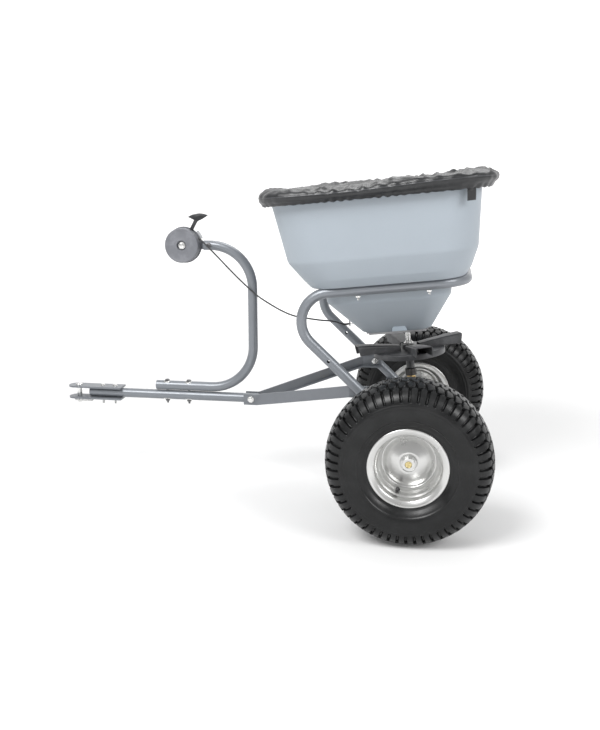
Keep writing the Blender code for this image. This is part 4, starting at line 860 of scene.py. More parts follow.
@dataclass
class Fasteners:
    """Every bolt of the machine."""

    finishes: Finishes
    leg_lean: float = 40.7

    def build(self) -> int:
        """Builds the bolts in their CAD places and returns how many there are."""
        down, across, back = (0.0, 0.0, -1.0), (0.0, 1.0, 0.0), (0.0, -1.0, 0.0)
        lean = math.radians(self.leg_lean)
        inwards = DECK.across * math.cos(lean) + DECK.along * math.sin(lean)
        bolts = [Bolt(f"hopper_bolt_{end}_{side.word}", tuple(-DECK.along))
                 for end in ("front", "rear") for side in Side]
        bolts += [Bolt(f"hitch_bolt_{end}", down, tail=0.010) for end in ("front", "rear")]
        bolts += [Bolt(f"arm_bolt_{end}", down, dark=True) for end in ("front", "rear")]
        bolts += [Bolt("brace_bolt_near", back, radius=0.0039, tail=0.003),
                  Bolt("brace_bolt_far", across, radius=0.0039, tail=0.003),
                  Bolt("tongue_brace_bolt", across, radius=0.0039, tail=0.004),
                  # The bracket bolt is dark: painted shade for the dark open end of the arm.
                  Bolt("bracket_bolt", across, tail=0.003, dark=True),
                  Bolt("pivot_bolt", across, radius=0.0040, tail=0.002),
                  Bolt("gearbox_bolt", tuple(inwards), nut=False)]
        for bolt in bolts:
            # Bolts marked dark take the darker zinc; on the bracket bolt that darkness is painted shade.
            plate = self.finishes.dark_zinc if bolt.dark else self.finishes.zinc
            show(f"{bolt.node}_hex", bolt.mesh(), plate, bolt.body, (bolt.node,))
        return len(bolts)


# ---------------------------------------------------------------- frame and drawbar


@dataclass
class TubeFrame:
    """The bent tube that carries the hopper, with its braces, cross strap and bearings."""

    finishes: Finishes
    half_width: float = 0.195
    rail_height: float = 0.377
    leg_lean: float = 40.7
    front_bend: float = 0.071
    crossbar: float = 0.158
    rear_bend: float = 0.075
    past_axle: float = 0.016
    tube_radius: float = 0.0127
    wall: float = 0.0016
    leg_hole_along: float = 0.280
    leg_hole_radius: float = 0.004

    def path(self) -> Array:
        """Up one leg, along its rail, across the back and down the other leg, with an arc at each corner."""
        lean = math.radians(self.leg_lean)
        foot_u, foot_w = self.past_axle * math.sin(lean), -self.past_axle * math.cos(lean)
        front = -self.rail_height * math.tan(lean)
        half, rail = self.half_width, self.rail_height
        corners = [(foot_u, -half, foot_w), (front, -half, rail), (self.crossbar, -half, rail),
                   (self.crossbar, half, rail), (front, half, rail), (foot_u, half, foot_w)]
        turns = filleted(corners, (self.front_bend, self.rear_bend, self.rear_bend, self.front_bend))
        return DECK.put(*turns.T)

    def build(self) -> None:
        """Builds the tube with its leg holes, and rounds the edges of the flat pieces."""
        tube = show("frame_tube_round", pipe("frame_tube_round", self.path(), self.tube_radius, self.wall),
                    self.finishes.enamel, Body.CHASSIS, ("frame_tube",))
        lean = math.radians(self.leg_lean)
        u, w = -self.leg_hole_along * math.sin(lean), self.leg_hole_along * math.cos(lean)
        drills = []
        for side in Side:
            basis = Basis.at(deck_at(u, side.value * self.half_width, w), (0.0, 1.0, 0.0))
            profile = np.array([(self.leg_hole_radius, -0.02), (self.leg_hole_radius, 0.02)])
            drills.append(turned("drill", profile, basis, 20, closed=False))
        drilled(tube, drills)
        for side in Side:
            eased_copy(f"brace_{side.word}", self.finishes.brace_enamel, Body.CHASSIS, 0.0008)
            dress_node(f"axle_bearing_{side.word}", self.finishes.black)
        eased_copy("cross_strap", self.finishes.enamel, Body.CHASSIS, 0.0008)


@dataclass
class Drawbar:
    """The drawbar tube, the hitch at its front end and the arm that carries the control head."""

    finishes: Finishes
    wall: float = 0.0016
    lower_bend: float = 0.115
    upper_bend: float = 0.110
    arm_top_end: float = -0.563
    wire: float = 0.0012

    def tube(self) -> None:
        """The straight drawbar tube."""
        low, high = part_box("tongue_tube")
        radius, z = (high.z - low.z) / 2, (high.z + low.z) / 2
        path = np.array([(x, 0.0, z) for x in np.linspace(low.x, high.x, 12)])
        show("tongue_round", pipe("tongue_round", path, radius, self.wall), self.finishes.enamel,
             Body.CHASSIS, ("tongue_tube",))

    def arm(self) -> None:
        """The C-shaped arm: along the drawbar, up, and forwards to the head."""
        low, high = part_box("control_arm")
        radius = high.y
        upright, bottom, top = high.x - radius, low.z + radius, high.z - radius
        corners = [(low.x, 0.0, bottom), (upright, 0.0, bottom), (upright, 0.0, top),
                   (AXLE[0] + self.arm_top_end, 0.0, top)]
        path = filleted(corners, (self.lower_bend, self.upper_bend), 4.0)
        show("control_arm_round", pipe("control_arm_round", path, radius, self.wall), self.finishes.enamel,
             Body.CHASSIS, ("control_arm",))

    def saddles(self) -> None:
        """Curved washers under the arm bolts: strips of a cylinder round the tube they press on."""
        for end in ("front", "rear"):
            low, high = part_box(f"arm_bolt_{end}")
            x = (low.x + high.x) / 2
            for word, node, way in (("upper", "control_arm", 1.0), ("lower", "tongue_tube", -1.0)):
                tube_low, tube_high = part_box(node)
                radius = tube_high.y
                middle = tube_low.z + radius if node == "control_arm" else (tube_low.z + tube_high.z) / 2
                a = np.radians(np.linspace(-48.0, 48.0, 17))[None, :]
                rows = x + np.array((-0.0085, 0.0085))[:, None]
                size = radius + 0.0003
                points = np.stack(np.broadcast_arrays(
                    rows, size * np.sin(a), middle + way * size * np.cos(a)), -1)
                washer = show(f"arm_saddle_{end}_{word}", grid_mesh("saddle", points), self.finishes.zinc,
                              Body.CHASSIS)
                wall = washer.modifiers.new("wall", "SOLIDIFY")
                wall.thickness = 0.0012
                wall.offset = -way

    def hitch(self) -> None:
        """The straps, the hitch pin and its hairpin."""
        for level in ("top", "bottom"):
            eased_copy(f"hitch_strap_{level}", self.finishes.brace_enamel, Body.CHASSIS,
                       0.0007)
        low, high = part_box("hitch_pin")
        x, shank = (low.x + high.x) / 2, 0.0066
        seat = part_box("hitch_strap_top")[1].z
        profile = np.array([(0.0005, high.z), (0.0070, high.z), (0.0086, high.z - 0.0007),
                            (0.0095, high.z - 0.0020), (0.0095, seat + 0.0004), (shank, seat + 0.0002),
                            (shank, low.z + 0.003), (shank - 0.0020, low.z), (0.0005, low.z)])
        basis = Basis.at((x, 0.0, 0.0), (0.0, 0.0, 1.0))
        show("hitch_pin_turned", turned("hitch_pin", profile, basis, 40, closed=False), self.finishes.zinc,
             Body.CHASSIS, ("hitch_pin",))
        clip_low, clip_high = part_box("hairpin")
        z = (clip_low.z + clip_high.z) / 2
        aside = clip_low.y + self.wire
        route = [(clip_low.x, 0.0, z), (clip_high.x - self.wire, 0.0, z), (clip_high.x - self.wire, aside, z),
                 (x + 0.010, aside, z), (x - 0.001, aside + 0.0022, z), (x - 0.010, aside, z)]
        path = filleted(route, (0.0045, 0.0045, 0.008, 0.008), 12.0)
        show("hairpin_wire", bar("hairpin", path, self.wire, 12), self.finishes.zinc, Body.CHASSIS,
             ("hairpin",))

    def build(self) -> None:
        """Builds the drawbar, the arm and the hitch."""
        self.tube()
        self.arm()
        self.saddles()
        self.hitch()


# ---------------------------------------------------------------- control head


@dataclass
class ControlHead:
    """The round gate control: housing, dial plate, lever with its grip, and the cable."""

    finishes: Finishes
    lever_length: float = 0.083
    lever_lean: float = 28.4
    cable_radius: float = 0.0021
    cable_start: Point = (0.0434, -0.0205, 0.0205)
    ear_ahead: float = -0.1574
    ear_aside: float = 0.070
    ear_height: float = 0.256
    route: tuple[Point, ...] = (
        (0.032, -0.0220, 0.046), (0.118, -0.0215, 0.189), (0.214, -0.0185, 0.358), (0.300, -0.0175, 0.499),
        (0.388, -0.0175, 0.628), (0.470, -0.0170, 0.720), (0.570, -0.0165, 0.812), (0.656, -0.0155, 0.866),
        (0.742, -0.0060, 0.896), (0.825, 0.0140, 0.927), (0.896, 0.0440, 0.957))

    def centre(self) -> tuple[float, float]:
        """The pivot's x and z."""
        low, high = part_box("control_housing")
        return (low.x + high.x) / 2, (low.z + high.z) / 2

    def housing(self) -> None:
        """The drum: a turned wall with a rounded edge, a dished face and a recess for the bolt."""
        low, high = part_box("control_housing")
        x, z = self.centre()
        outer, deep = (high.x - low.x) / 2, high.y - low.y
        face = [(0.0044, 0.0062), (0.0118, 0.0062), (0.0124, 0.0056), (0.0125, 0.0010), (0.0133, 0.0001),
                (0.0160, 0.0), (0.0172, 0.0006), (0.0412, 0.0006), (0.0420, 0.0), (outer - 0.0022, 0.0),
                (outer - 0.0007, 0.0006), (outer, 0.0022), (outer, 0.0070), (outer - 0.0005, 0.0074),
                (outer - 0.0005, 0.0082), (outer, 0.0086), (outer, deep), (outer - 0.0025, deep),
                (outer - 0.0025, 0.0100), (0.0044, 0.0100)]
        basis = Basis.at((x, low.y, z), (0.0, 1.0, 0.0))
        show("housing_turned", turned("housing", np.array(face), basis, 128), self.finishes.grey,
             Body.CHASSIS, ("control_housing",))

    def dial(self) -> None:
        """The dial plate, whose edge has a row of shallow stops, and the pale cable keeper behind it."""
        low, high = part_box("dial_plate")
        x, z = self.centre()
        outer, deep = (high.x - low.x) / 2, high.y - low.y
        profile = np.array([(0.0044, 0.0), (outer - 0.0006, 0.0), (outer, 0.0006), (outer, deep - 0.0006),
                            (outer - 0.0006, deep), (0.0044, deep)])

        def stops(radius: Array, along: Array, angle: Array) -> Array:
            """Notches 0.7 mm deep round the edge, where the sine of 48 turns is near its top."""
            edge = (radius > outer - 0.001) * 0.0007
            return -edge * np.clip(4 * np.sin(48 * angle) - 3, 0.0, 1.0)

        basis = Basis.at((x, low.y, z), (0.0, 1.0, 0.0))
        show("dial_turned", turned("dial", profile, basis, 384, swell=stops), self.finishes.grey,
             Body.CHASSIS, ("dial_plate",))
        a = np.radians(np.linspace(20.0, 46.0, 14))
        arc = np.concatenate([np.stack([0.0535 * np.cos(a), 0.0535 * np.sin(a)], 1),
                              np.stack([0.0405 * np.cos(a), 0.0405 * np.sin(a)], 1)[::-1]])
        keeper = Basis(np.array((x, high.y + 0.0004, z)), np.eye(3)[0], np.eye(3)[2], np.eye(3)[1])
        eased(show("cable_keeper", prism("cable_keeper", arc, keeper, 0.0, 0.0022), self.finishes.pale,
                   Body.CHASSIS), 0.0006)
        eased_copy("head_bracket", self.finishes.enamel, Body.CHASSIS, 0.0005)

    def lever(self) -> None:
        """The lever: a ring round the pivot, a tapered stem, and a grip like a bird's body."""
        x, z = self.centre()
        middle = sum(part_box("control_housing")[1].y + gap for gap in (0.0003, 0.0063)) / 2
        lean = math.radians(self.lever_lean)
        up = np.array((math.sin(lean), 0.0, math.cos(lean)))
        aside = np.array((math.cos(lean), 0.0, -math.sin(lean)))
        ring = np.array([(0.0046, -0.0028), (0.0175, -0.0028), (0.0180, -0.0022), (0.0180, 0.0022),
                         (0.0175, 0.0028), (0.0046, 0.0028)])
        boss = turned("lever_ring", ring, Basis.at((x, middle, z), (0.0, 1.0, 0.0)), 64)
        share = np.linspace(0.0, 1.0, 10)[:, None]
        half = 0.0056 - 0.0018 * share + 0.0016 * share ** 6
        a = np.linspace(0.0, 2 * math.pi, 20, endpoint=False)[None, :]
        flat = np.sign(np.cos(a)) * np.abs(np.cos(a)) ** 0.45, np.sign(np.sin(a)) * np.abs(np.sin(a)) ** 0.45
        stem_basis = Basis(np.array((x, middle, z)), aside, np.array((0.0, 1.0, 0.0)), up)
        stem = outwards(grid_mesh("stem", stem_basis.put(half * flat[0], 0.0030 * flat[1],
                                                         0.015 + share * (self.lever_length - 0.022)),
                                  wrap_columns=True, caps=True))
        show("control_lever_stem", joined("lever", (boss, stem)), self.finishes.black, Body.LEVER,
             ("control_lever",), 50.0)
        self.grip(np.array((x, middle, z)) + up * self.lever_length + np.array((0.001, 0.0, 0.0)))

    def grip(self, at: Array) -> None:
        """The grip: eight-sided sections between a ridge line and a keel line, pointed at both ends."""
        x = np.concatenate([[-0.0268], np.linspace(-0.0262, 0.0262, 15), [0.0268]])
        ridge = np.interp(x, (-0.027, -0.016, 0.002, 0.014, 0.027), (0.0004, 0.0060, 0.0098, 0.0090, 0.0052))
        keel = np.interp(x, (-0.027, -0.010, -0.002, 0.012, 0.027),
                         (-0.0004, -0.0085, -0.0115, -0.0050, 0.0044))
        width = 0.0108 * (1.0 - np.abs(x / 0.0285) ** 1.6)
        aside = np.array((0.0, 0.62, 1.0, 0.62, 0.0, -0.62, -1.0, -0.62))[None, :]
        level = np.array((1.0, 0.86, 0.30, -0.42, -1.0, -0.42, 0.30, 0.86))[None, :]
        centre, half = ((ridge + keel) / 2)[:, None], ((ridge - keel) / 2)[:, None]
        points = np.stack(np.broadcast_arrays(x[:, None], width[:, None] * aside, centre + half * level), -1)
        mesh = outwards(grid_mesh("grip", points + at, wrap_columns=True, caps=True))
        eased(show("control_lever_grip", mesh, self.finishes.black, Body.LEVER,
                   smooth=22.0), 0.0007)

    def cable(self) -> None:
        """The cable along its CAD route, with a ferrule at each end and the bare pull wire to the gate."""
        x, z = self.centre()
        start = np.array((x, 0.0, z)) + np.array(self.cable_start)
        end = deck_at(self.ear_ahead - 0.0009, self.ear_aside, self.ear_height)
        before = deck_at(self.ear_ahead - 0.016, self.ear_aside, self.ear_height)
        shares = np.array(self.route)
        hanging = np.stack([start[0] + (end[0] - start[0]) * shares[:, 0], shares[:, 1],
                            start[2] + (end[2] - start[2]) * shares[:, 2]], 1)
        path = smooth_through(np.vstack([start, hanging, before, end]), 9)
        show("control_cable_sheath", bar("cable", path, self.cable_radius, 12), self.finishes.sheath,
             Body.CHASSIS, ("control_cable",))
        for word, places in (("head", path[:7]), ("ear", path[-13:])):
            size = self.cable_radius + np.interp(np.linspace(0, 1, len(places)), (0, 0.3, 0.7, 1),
                                                 (0.0004, 0.0009, 0.0009, 0.0004))
            show(f"cable_ferrule_{word}", bar("ferrule", places, size, 20), self.finishes.black, Body.CHASSIS)
        lug = spans("gate_plate", DECK)[0][0]
        wire = DECK.put(np.linspace(self.ear_ahead, lug, 14), np.full(14, self.ear_aside),
                        np.full(14, self.ear_height))
        pull = show("pull_wire", bar("pull_wire", wire, 0.0008, 8), self.finishes.zinc, Body.CHASSIS)
        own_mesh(pull)
        eased_copy("cable_bracket", self.finishes.dark_zinc, Body.CHASSIS, 0.0004)

    def build(self) -> None:
        """Builds the control head and its cable."""
        self.housing()
        self.dial()
        self.lever()
        self.cable()


# ---------------------------------------------------------------- hopper, cover and gate


@dataclass
class Hopper:
    """The moulded hopper: a rolled lip, tapered walls, a fold, a shelf on the rails and a funnel."""

    finishes: Finishes
    front: float = -0.282
    rear: float = 0.203
    half: float = 0.265
    rim: float = 0.600
    fold: float = 0.455
    shelf: float = 0.390
    floor: float = 0.253
    lip: float = 0.014
    wall: float = 0.003
    port_front: float = -0.072
    port_length: float = 0.036

    def levels(self) -> Array:
        """Rows of (front, rear, half width, corner radius, height) from the lip down, creases rounded."""
        lip, rim = self.lip - self.wall, self.rim - self.wall
        front, rear, half = self.front, self.rear, self.half
        rows = [(front - lip, rear + lip, half + lip, 0.100, rim - 0.0060),
                (front - lip, rear + lip, half + lip, 0.100, rim),
                (front, rear, half, 0.090, rim),
                (front + 0.0215, rear - 0.0165, half - 0.0200, 0.090, self.fold),
                (front + 0.0520, rear - 0.0345, half - 0.0390, 0.085, self.shelf + 0.020),
                (front + 0.0695, rear - 0.0490, half - 0.0520, 0.070, self.shelf),
                (-0.186, 0.121, 0.1785, 0.060, self.shelf),
                (-0.180, 0.116, 0.1745, 0.055, self.shelf - 0.045),
                (-0.110, 0.062, 0.073, 0.030, self.floor + 0.003),
                (-0.104, 0.056, 0.067, 0.027, self.floor),
                (-0.040, 0.010, 0.020, 0.010, self.floor)]
        return filleted(rows, (0.002, 0.004, 0.022, 0.012, 0.010, 0.008, 0.012, 0.006, 0.003), 14.0)

    def shell(self) -> bpy.types.Object:
        """The moulded shell, with the ports and the shaft hole cut through its floor."""
        rows = self.levels()
        across, aside = rounded_rings(rows[:, :4], 15, 7)
        points = DECK.put(across, aside, rows[:, 4:])
        centre = np.mean(points[-1:], 1, keepdims=True)
        floor_row = centre + (points[-1:] - centre) * 0.02
        mesh = grid_mesh("hopper", np.concatenate([points, floor_row])[:, ::-1], wrap_columns=True,
                         caps=False)
        hopper = show("hopper_shell", mesh, self.finishes.hopper, Body.CHASSIS,
                      ("hopper",), 60.0)
        wall = hopper.modifiers.new("wall", "SOLIDIFY")
        wall.thickness = self.wall
        wall.offset = -1.0
        drills = [turned("drill", np.array([(0.0094, -0.02), (0.0094, 0.02)]),
                         Basis.at(deck_at(0.0, 0.0, self.floor), DECK.along), 32, closed=False)]
        for side in Side:
            u = (self.port_front, self.port_front + self.port_length)
            y = sorted((side.value * 0.014, side.value * 0.050))
            outline = np.array([(u[0], y[0]), (u[1], y[0]), (u[1], y[1]), (u[0], y[1])])
            drills.append(prism("drill", outline, DECK, self.floor - 0.008, self.floor + 0.012))
        return drilled(hopper, drills)

    def bosses(self) -> None:
        """The half-round bosses on each side of the funnel's foot."""
        a = np.radians(np.linspace(0.0, 180.0, 25))
        outline = np.stack([-0.0155 + 0.0185 * np.cos(a), self.floor + 0.0004 + 0.0185 * np.sin(a)], 1)
        for side in Side:
            basis = Basis(np.array(AXLE), DECK.across, DECK.along, DECK.aside * side.value)
            # The bosses take the lighter copy of the hopper plastic, which paints light on them.
            eased(show(f"funnel_boss_{side.word}", prism("boss", outline, basis, 0.060, 0.0885),
                       self.finishes.boss, Body.CHASSIS), 0.0015)

    def build(self) -> None:
        """Builds the hopper."""
        self.shell()
        self.bosses()


@dataclass
class RainCover:
    """The nylon rain cover: gathered on elastic under the lip, puffed at the rim, slack within."""

    finishes: Finishes
    hopper: Hopper
    hem_drop: float = 0.0090
    hem_slope: float = 0.011
    puff: float = 0.0215
    sag: float = 0.011
    around: int = 452
    inward: int = 84
    thickness: float = 0.0009

    def levels(self) -> Array:
        """Rows of (front, rear, half width, corner radius, height) from the tucked hem to the middle."""
        past, rim = 0.0195, self.hopper.rim
        front, rear, half = self.hopper.front - past, self.hopper.rear + past, self.hopper.half + past
        middle = (front + rear) / 2
        rows = np.array([
            (front + 0.0060, rear - 0.0020, half - 0.0060, 0.095, rim - self.hem_drop + 0.0030),
            (front + 0.0000, rear + 0.0035, half, 0.100, rim - self.hem_drop),
            (front - 0.0030, rear + 0.0090, half + 0.0035, 0.102, rim - 0.0030),
            (front - 0.0060, rear + 0.0160, half + 0.0080, 0.104, rim + 0.0045),
            (front - 0.0045, rear + 0.0160, half + 0.0065, 0.103, rim + 0.0130),
            (front + 0.0040, rear + 0.0080, half - 0.0010, 0.099, rim + self.puff - 0.0050),
            (front + 0.0200, rear - 0.0090, half - 0.0160, 0.094, rim + self.puff),
            (front + 0.0520, rear - 0.0390, half - 0.0460, 0.087, rim + self.puff - 0.0025),
            (front + 0.1000, rear - 0.0860, half - 0.0930, 0.076, rim + self.puff - 0.0070),
            (front + 0.1700, rear - 0.1560, half - 0.1630, 0.050, rim + self.sag),
            (middle - 0.0060, middle + 0.0060, 0.0060, 0.0055, rim + self.sag - 0.0020)])
        curve = smooth_through(rows, 24)
        steps = np.linalg.norm(np.diff(curve[:, [1, 4]], axis=0), axis=1)
        walked = np.concatenate([[0.0], np.cumsum(steps)])
        even = np.linspace(0.0, 1.0, self.inward) ** 1.25 * walked[-1]
        return np.stack([np.interp(even, walked, column) for column in curve.T], 1)

    def cloth(self) -> tuple[Array, Array]:
        """The cloth's points and its flat UV.

        The cover's plain form moves along its own normal by a sum of folds: ruffles that die out above
        the hem, gathers that run over the rim, and slack folds across the top. Corners puff higher.
        """
        rng = np.random.default_rng(11)
        rows = self.levels()
        per_side = self.around // 4 - 33
        across, aside = rounded_rings(rows[:, :4], 33, per_side)
        points = DECK.put(across, aside, rows[:, 4:])
        columns = points.shape[1]
        way = (np.arange(columns) / columns)[None, :]
        steps = np.linalg.norm(np.diff(points, axis=0), axis=2).mean(1)
        walked = np.concatenate([[0.0], np.cumsum(steps)])[:, None]
        depth = walked / walked[-1]
        hem = np.exp(-(walked / 0.014) ** 2)
        rim = np.exp(-((walked - 0.048) / 0.026) ** 2)
        top = np.clip((walked - 0.040) / 0.060, 0.0, 1.0) * np.clip(1.15 - depth, 0.0, 1.0)
        ruffles = ripple(rng, way, depth, 5, 58, 118) * 0.0036 * hem
        gathers = (0.5 - np.abs(ripple(rng, way, depth * 2, 5, 12, 34))) * 0.0120 * rim
        small = (0.5 - np.abs(ripple(rng, way, depth * 3, 5, 26, 60))) * 0.0040 * (rim + 0.12 * top)
        slack = (0.45 - np.abs(ripple(rng, way, depth * 3, 4, 4, 11))) * 0.0175 * top
        drift = ripple(rng, way, depth * 2, 4, 2, 6) * 0.0055 * top
        corner = np.abs(np.sin(2 * math.pi * (way * 4 + 0.5) / 2)) ** 2
        lift = (corner - 0.45) * 0.0070 * np.clip(rim + top * 0.4, 0.0, 1.0)
        lift = lift - self.hem_slope * across * np.exp(-(walked / 0.012) ** 2)
        normals = grid_normals(points)
        normals *= np.sign((normals[self.inward // 2] @ DECK.along).mean())
        heights = ruffles + gathers + small + slack + drift
        points = points + normals * heights[..., None] + DECK.along * lift[..., None]
        flat_x, flat_y = across - across.mean(), aside
        flat = unit(np.stack([flat_x, flat_y], -1) + 1e-9) * (walked[-1] - walked)[..., None]
        return points, flat

    def tab(self, edge: Array) -> None:
        """The pull tab: a doubled strap sewn to the hem near the rear corner, hanging clear of the hopper."""
        place = edge[np.argmin(np.linalg.norm(edge - deck_at(0.186, -0.268, 0.578), axis=1))]
        turn = math.radians(-62.0)
        outward = DECK.across * math.cos(turn) + DECK.aside * math.sin(turn)
        sideways = np.cross(DECK.along, outward)
        s = np.linspace(0.0, 1.0, 14)[:, None]
        v = np.linspace(-0.5, 0.5, 9)[None, :]
        hang = 0.002 - s * 0.029
        swing = -0.0015 - 0.0030 * s ** 1.5 + 0.0012 * np.cos(2 * math.pi * v) * s
        points = (place + sideways * (v * 0.021)[..., None] + DECK.along * hang[..., None]
                  + outward * swing[..., None])
        uv = np.stack(np.broadcast_arrays(v * 0.021, s * 0.029), -1)
        strap = show("cover_tab", grid_mesh("cover_tab", points, uv=uv), self.finishes.nylon, Body.COVER,
                     smooth=60.0)
        wall = strap.modifiers.new("wall", "SOLIDIFY")
        wall.thickness = 0.0018

    def build(self) -> None:
        points, flat = self.cloth()
        mesh = grid_mesh("cover", points, wrap_columns=True, uv=flat)
        cloth = show("rain_cover_cloth", mesh, self.finishes.nylon, Body.COVER,
                     ("rain_cover",), 75.0)
        wall = cloth.modifiers.new("wall", "SOLIDIFY")
        wall.thickness = self.thickness
        walked = np.concatenate([[0.0], np.cumsum(np.linalg.norm(np.diff(points, axis=0), axis=2).mean(1))])
        seam, hem = (int(np.argmin(np.abs(walked - place))) for place in (0.030, 0.006))
        # The piping bead is real; its lighter finish paints the highlight along the rim edge.
        piping = show("cover_piping", loop_bar("piping", points[seam], 0.0015, DECK.along),
                      self.finishes.piping, Body.COVER)
        elastic = show("cover_elastic", loop_bar("elastic", points[hem], 0.0021, DECK.along),
                       self.finishes.nylon, Body.COVER)
        self.tab(points[hem])


@dataclass
class Gate:
    """The sliding gate and its guides."""

    finishes: Finishes

    def build(self) -> None:
        """Rounds the edges of the gate and its guides."""
        eased_copy("gate_plate", self.finishes.steel, Body.GATE, 0.0004)
        for side in Side:
            eased_copy(f"gate_guide_{side.word}", self.finishes.steel, Body.CHASSIS, 0.0004)


# ---------------------------------------------------------------- spinner and gearbox


@dataclass
class Spinner:
    """The spinner shaft with its collar, the vaned impeller and the agitator."""

    finishes: Finishes
    disc_radius: float = 0.092
    floor: float = 0.1915
    disc: float = 0.003
    wall: float = 0.0022
    vane_start: float = 0.026
    vane_end: float = 0.137
    vane_half: float = 0.021
    vane_top: float = 0.2165
    first_vane: float = 19.0
    hub_drop: float = 0.0125
    shaft_radius: float = 0.00635

    def shaft(self) -> None:
        """The shaft, the washer on the impeller, and the fluted collar under it."""
        low, high = spans("spinner_shaft", DECK)
        base = Basis(np.array(AXLE), DECK.across, DECK.aside, DECK.along)
        r = self.shaft_radius
        rod = np.array([(0.0008, low[2]), (r - 0.0008, low[2]), (r, low[2] + 0.0008), (r, high[2] - 0.001),
                        (r - 0.001, high[2]), (0.0008, high[2])])
        show("spinner_shaft_turned", turned("shaft", rod, base, 48, closed=False), self.finishes.zinc,
             Body.SPINNER, ("spinner_shaft",))
        top = self.vane_top - self.hub_drop + 0.0022
        washer = np.array([(r + 0.0002, top), (0.0120, top), (0.0126, top + 0.0005), (0.0120, top + 0.0014),
                           (0.0094, top + 0.0016), (0.0090, top + 0.0050), (0.0076, top + 0.0058),
                           (r + 0.0002, top + 0.0058)])
        show("impeller_washer", turned("washer", washer, base, 56), self.finishes.zinc, Body.SPINNER)
        low, high = spans("shaft_collar", DECK)
        ring = np.array([(r + 0.0003, low[2]), (0.0140, low[2]), (0.0150, low[2] + 0.001),
                         (0.0150, high[2] - 0.001), (0.0140, high[2]), (r + 0.0003, high[2])])

        def flutes(radius: Array, along: Array, angle: Array) -> Array:
            """Eight flutes 1.6 mm deep round the outside, where the cosine of 8 turns is near its top."""
            return -0.0016 * (radius > 0.0130) * np.clip(np.cos(8 * angle), 0.0, 1.0) ** 2

        show("shaft_collar_fluted", turned("collar", ring, base, 160, swell=flutes),
             self.finishes.black_steel, Body.SPINNER, ("shaft_collar",))

    def vane(self, angle: float) -> bpy.types.Mesh:
        """One vane: an inverted channel whose roof rises outwards, open at both ends.

        Its section runs up one wall, over the roof and down the other. Its half width is
        half * (0.75 + 0.25 s), and its roof stands below the tip's by drop * (1 - s)^1.3.
        """
        turn = math.radians(angle)
        ahead = DECK.across * math.cos(turn) + DECK.aside * math.sin(turn)
        basis = Basis(np.array(AXLE), ahead, np.cross(DECK.along, ahead), DECK.along)
        s = np.linspace(0.0, 1.0, 28)[:, None]
        reach = self.vane_start + (self.vane_end - self.vane_start) * s
        half = self.vane_half * (0.75 + 0.25 * s)
        deep = self.vane_top - self.floor
        outline = filleted([(-1.0, 0.0), (-0.97, 1.0), (0.97, 1.0), (1.0, 0.0)], (0.22, 0.22), 8.0)
        rise = -0.0006 - self.hub_drop * (1.0 - s) ** 1.3
        height = self.floor - 0.0005 + outline[None, :, 1] * (deep + rise)
        slant = 0.004 * (outline[None, :, 1] - 0.5) * s
        return grid_mesh("vane", basis.put(reach + slant, half * outline[None, :, 0], height))

    def impeller(self) -> None:
        """The disc with its skirt, hub and boss, and the four vanes on it."""
        base = Basis(np.array(AXLE), DECK.across, DECK.aside, DECK.along)
        top, radius = self.floor, self.disc_radius
        under = top - self.disc
        plate = filleted([(0.0066, top + 0.011), (0.0150, top + 0.011), (0.0180, top), (radius, top),
                          (radius, 0.1765), (radius - self.wall, 0.1765), (radius - self.wall, under),
                          (0.0105, under), (0.0105, 0.1394), (0.0066, 0.1394)],
                         (0.002, 0.003, 0.003, 0.0008, 0.0008, 0.0015, 0.002, 0.0006), 15.0)
        wheel = turned("impeller", plate, base, 144)
        show("impeller_disc", wheel, self.finishes.impeller, Body.SPINNER, ("impeller",))
        vanes = joined("vanes", [self.vane(self.first_vane + 90.0 * k) for k in range(4)])
        piece = show("impeller_vanes", vanes, self.finishes.impeller, Body.SPINNER)
        wall = piece.modifiers.new("wall", "SOLIDIFY")
        wall.thickness = self.wall
        wall.offset = 0.0
        eased(piece, 0.0006)

    def agitator(self) -> None:
        """The bent wire over the ports."""
        level = spans("agitator", DECK)[0][2] + 0.0025
        route = [(-0.046, 0.0, level + 0.024), (-0.040, 0.0, level), (0.040, 0.0, level),
                 (0.046, 0.0, level + 0.024)]
        path = DECK.put(*filleted(route, (0.006, 0.006), 10.0).T)
        show("agitator_wire", bar("agitator", path, 0.0025, 16), self.finishes.zinc, Body.SPINNER,
             ("agitator",))

    def build(self) -> None:
        """Builds the spinner."""
        self.shaft()
        self.impeller()
        self.agitator()


@dataclass
class Gearbox:
    """The gearbox halves, the shaft bush and the bevel pair."""

    finishes: Finishes
    screw_places: tuple[tuple[float, float], ...] = ((-0.036, -0.036), (-0.036, 0.049), (0.036, -0.036),
                                                     (0.036, 0.049))

    def build(self) -> None:
        """Rounds the halves' edges, adds their pan-head screws, and dresses the gears and the bush."""
        for word in ("front", "rear"):
            eased_copy(f"gearbox_{word}", self.finishes.black, Body.CHASSIS, 0.0012)
        near = spans("gearbox_front", DECK)[0][1]
        head = np.array([(0.0004, -0.0019), (0.0018, -0.0018), (0.0030, -0.0012), (0.0034, 0.0),
                         (0.0004, 0.0)])
        for number, (u, w) in enumerate(self.screw_places):
            basis = Basis.at(deck_at(u, near - 0.0002, w), (0.0, 1.0, 0.0))
            show(f"gearbox_screw_{number}", turned("screw", head, basis, 20, closed=False),
                 self.finishes.zinc, Body.CHASSIS)
        dress_node("shaft_bush", self.finishes.brass)
        dress_node("drive_gear", self.finishes.steel)
        dress_node("pinion_gear", self.finishes.steel)


# ---------------------------------------------------------------- wheels


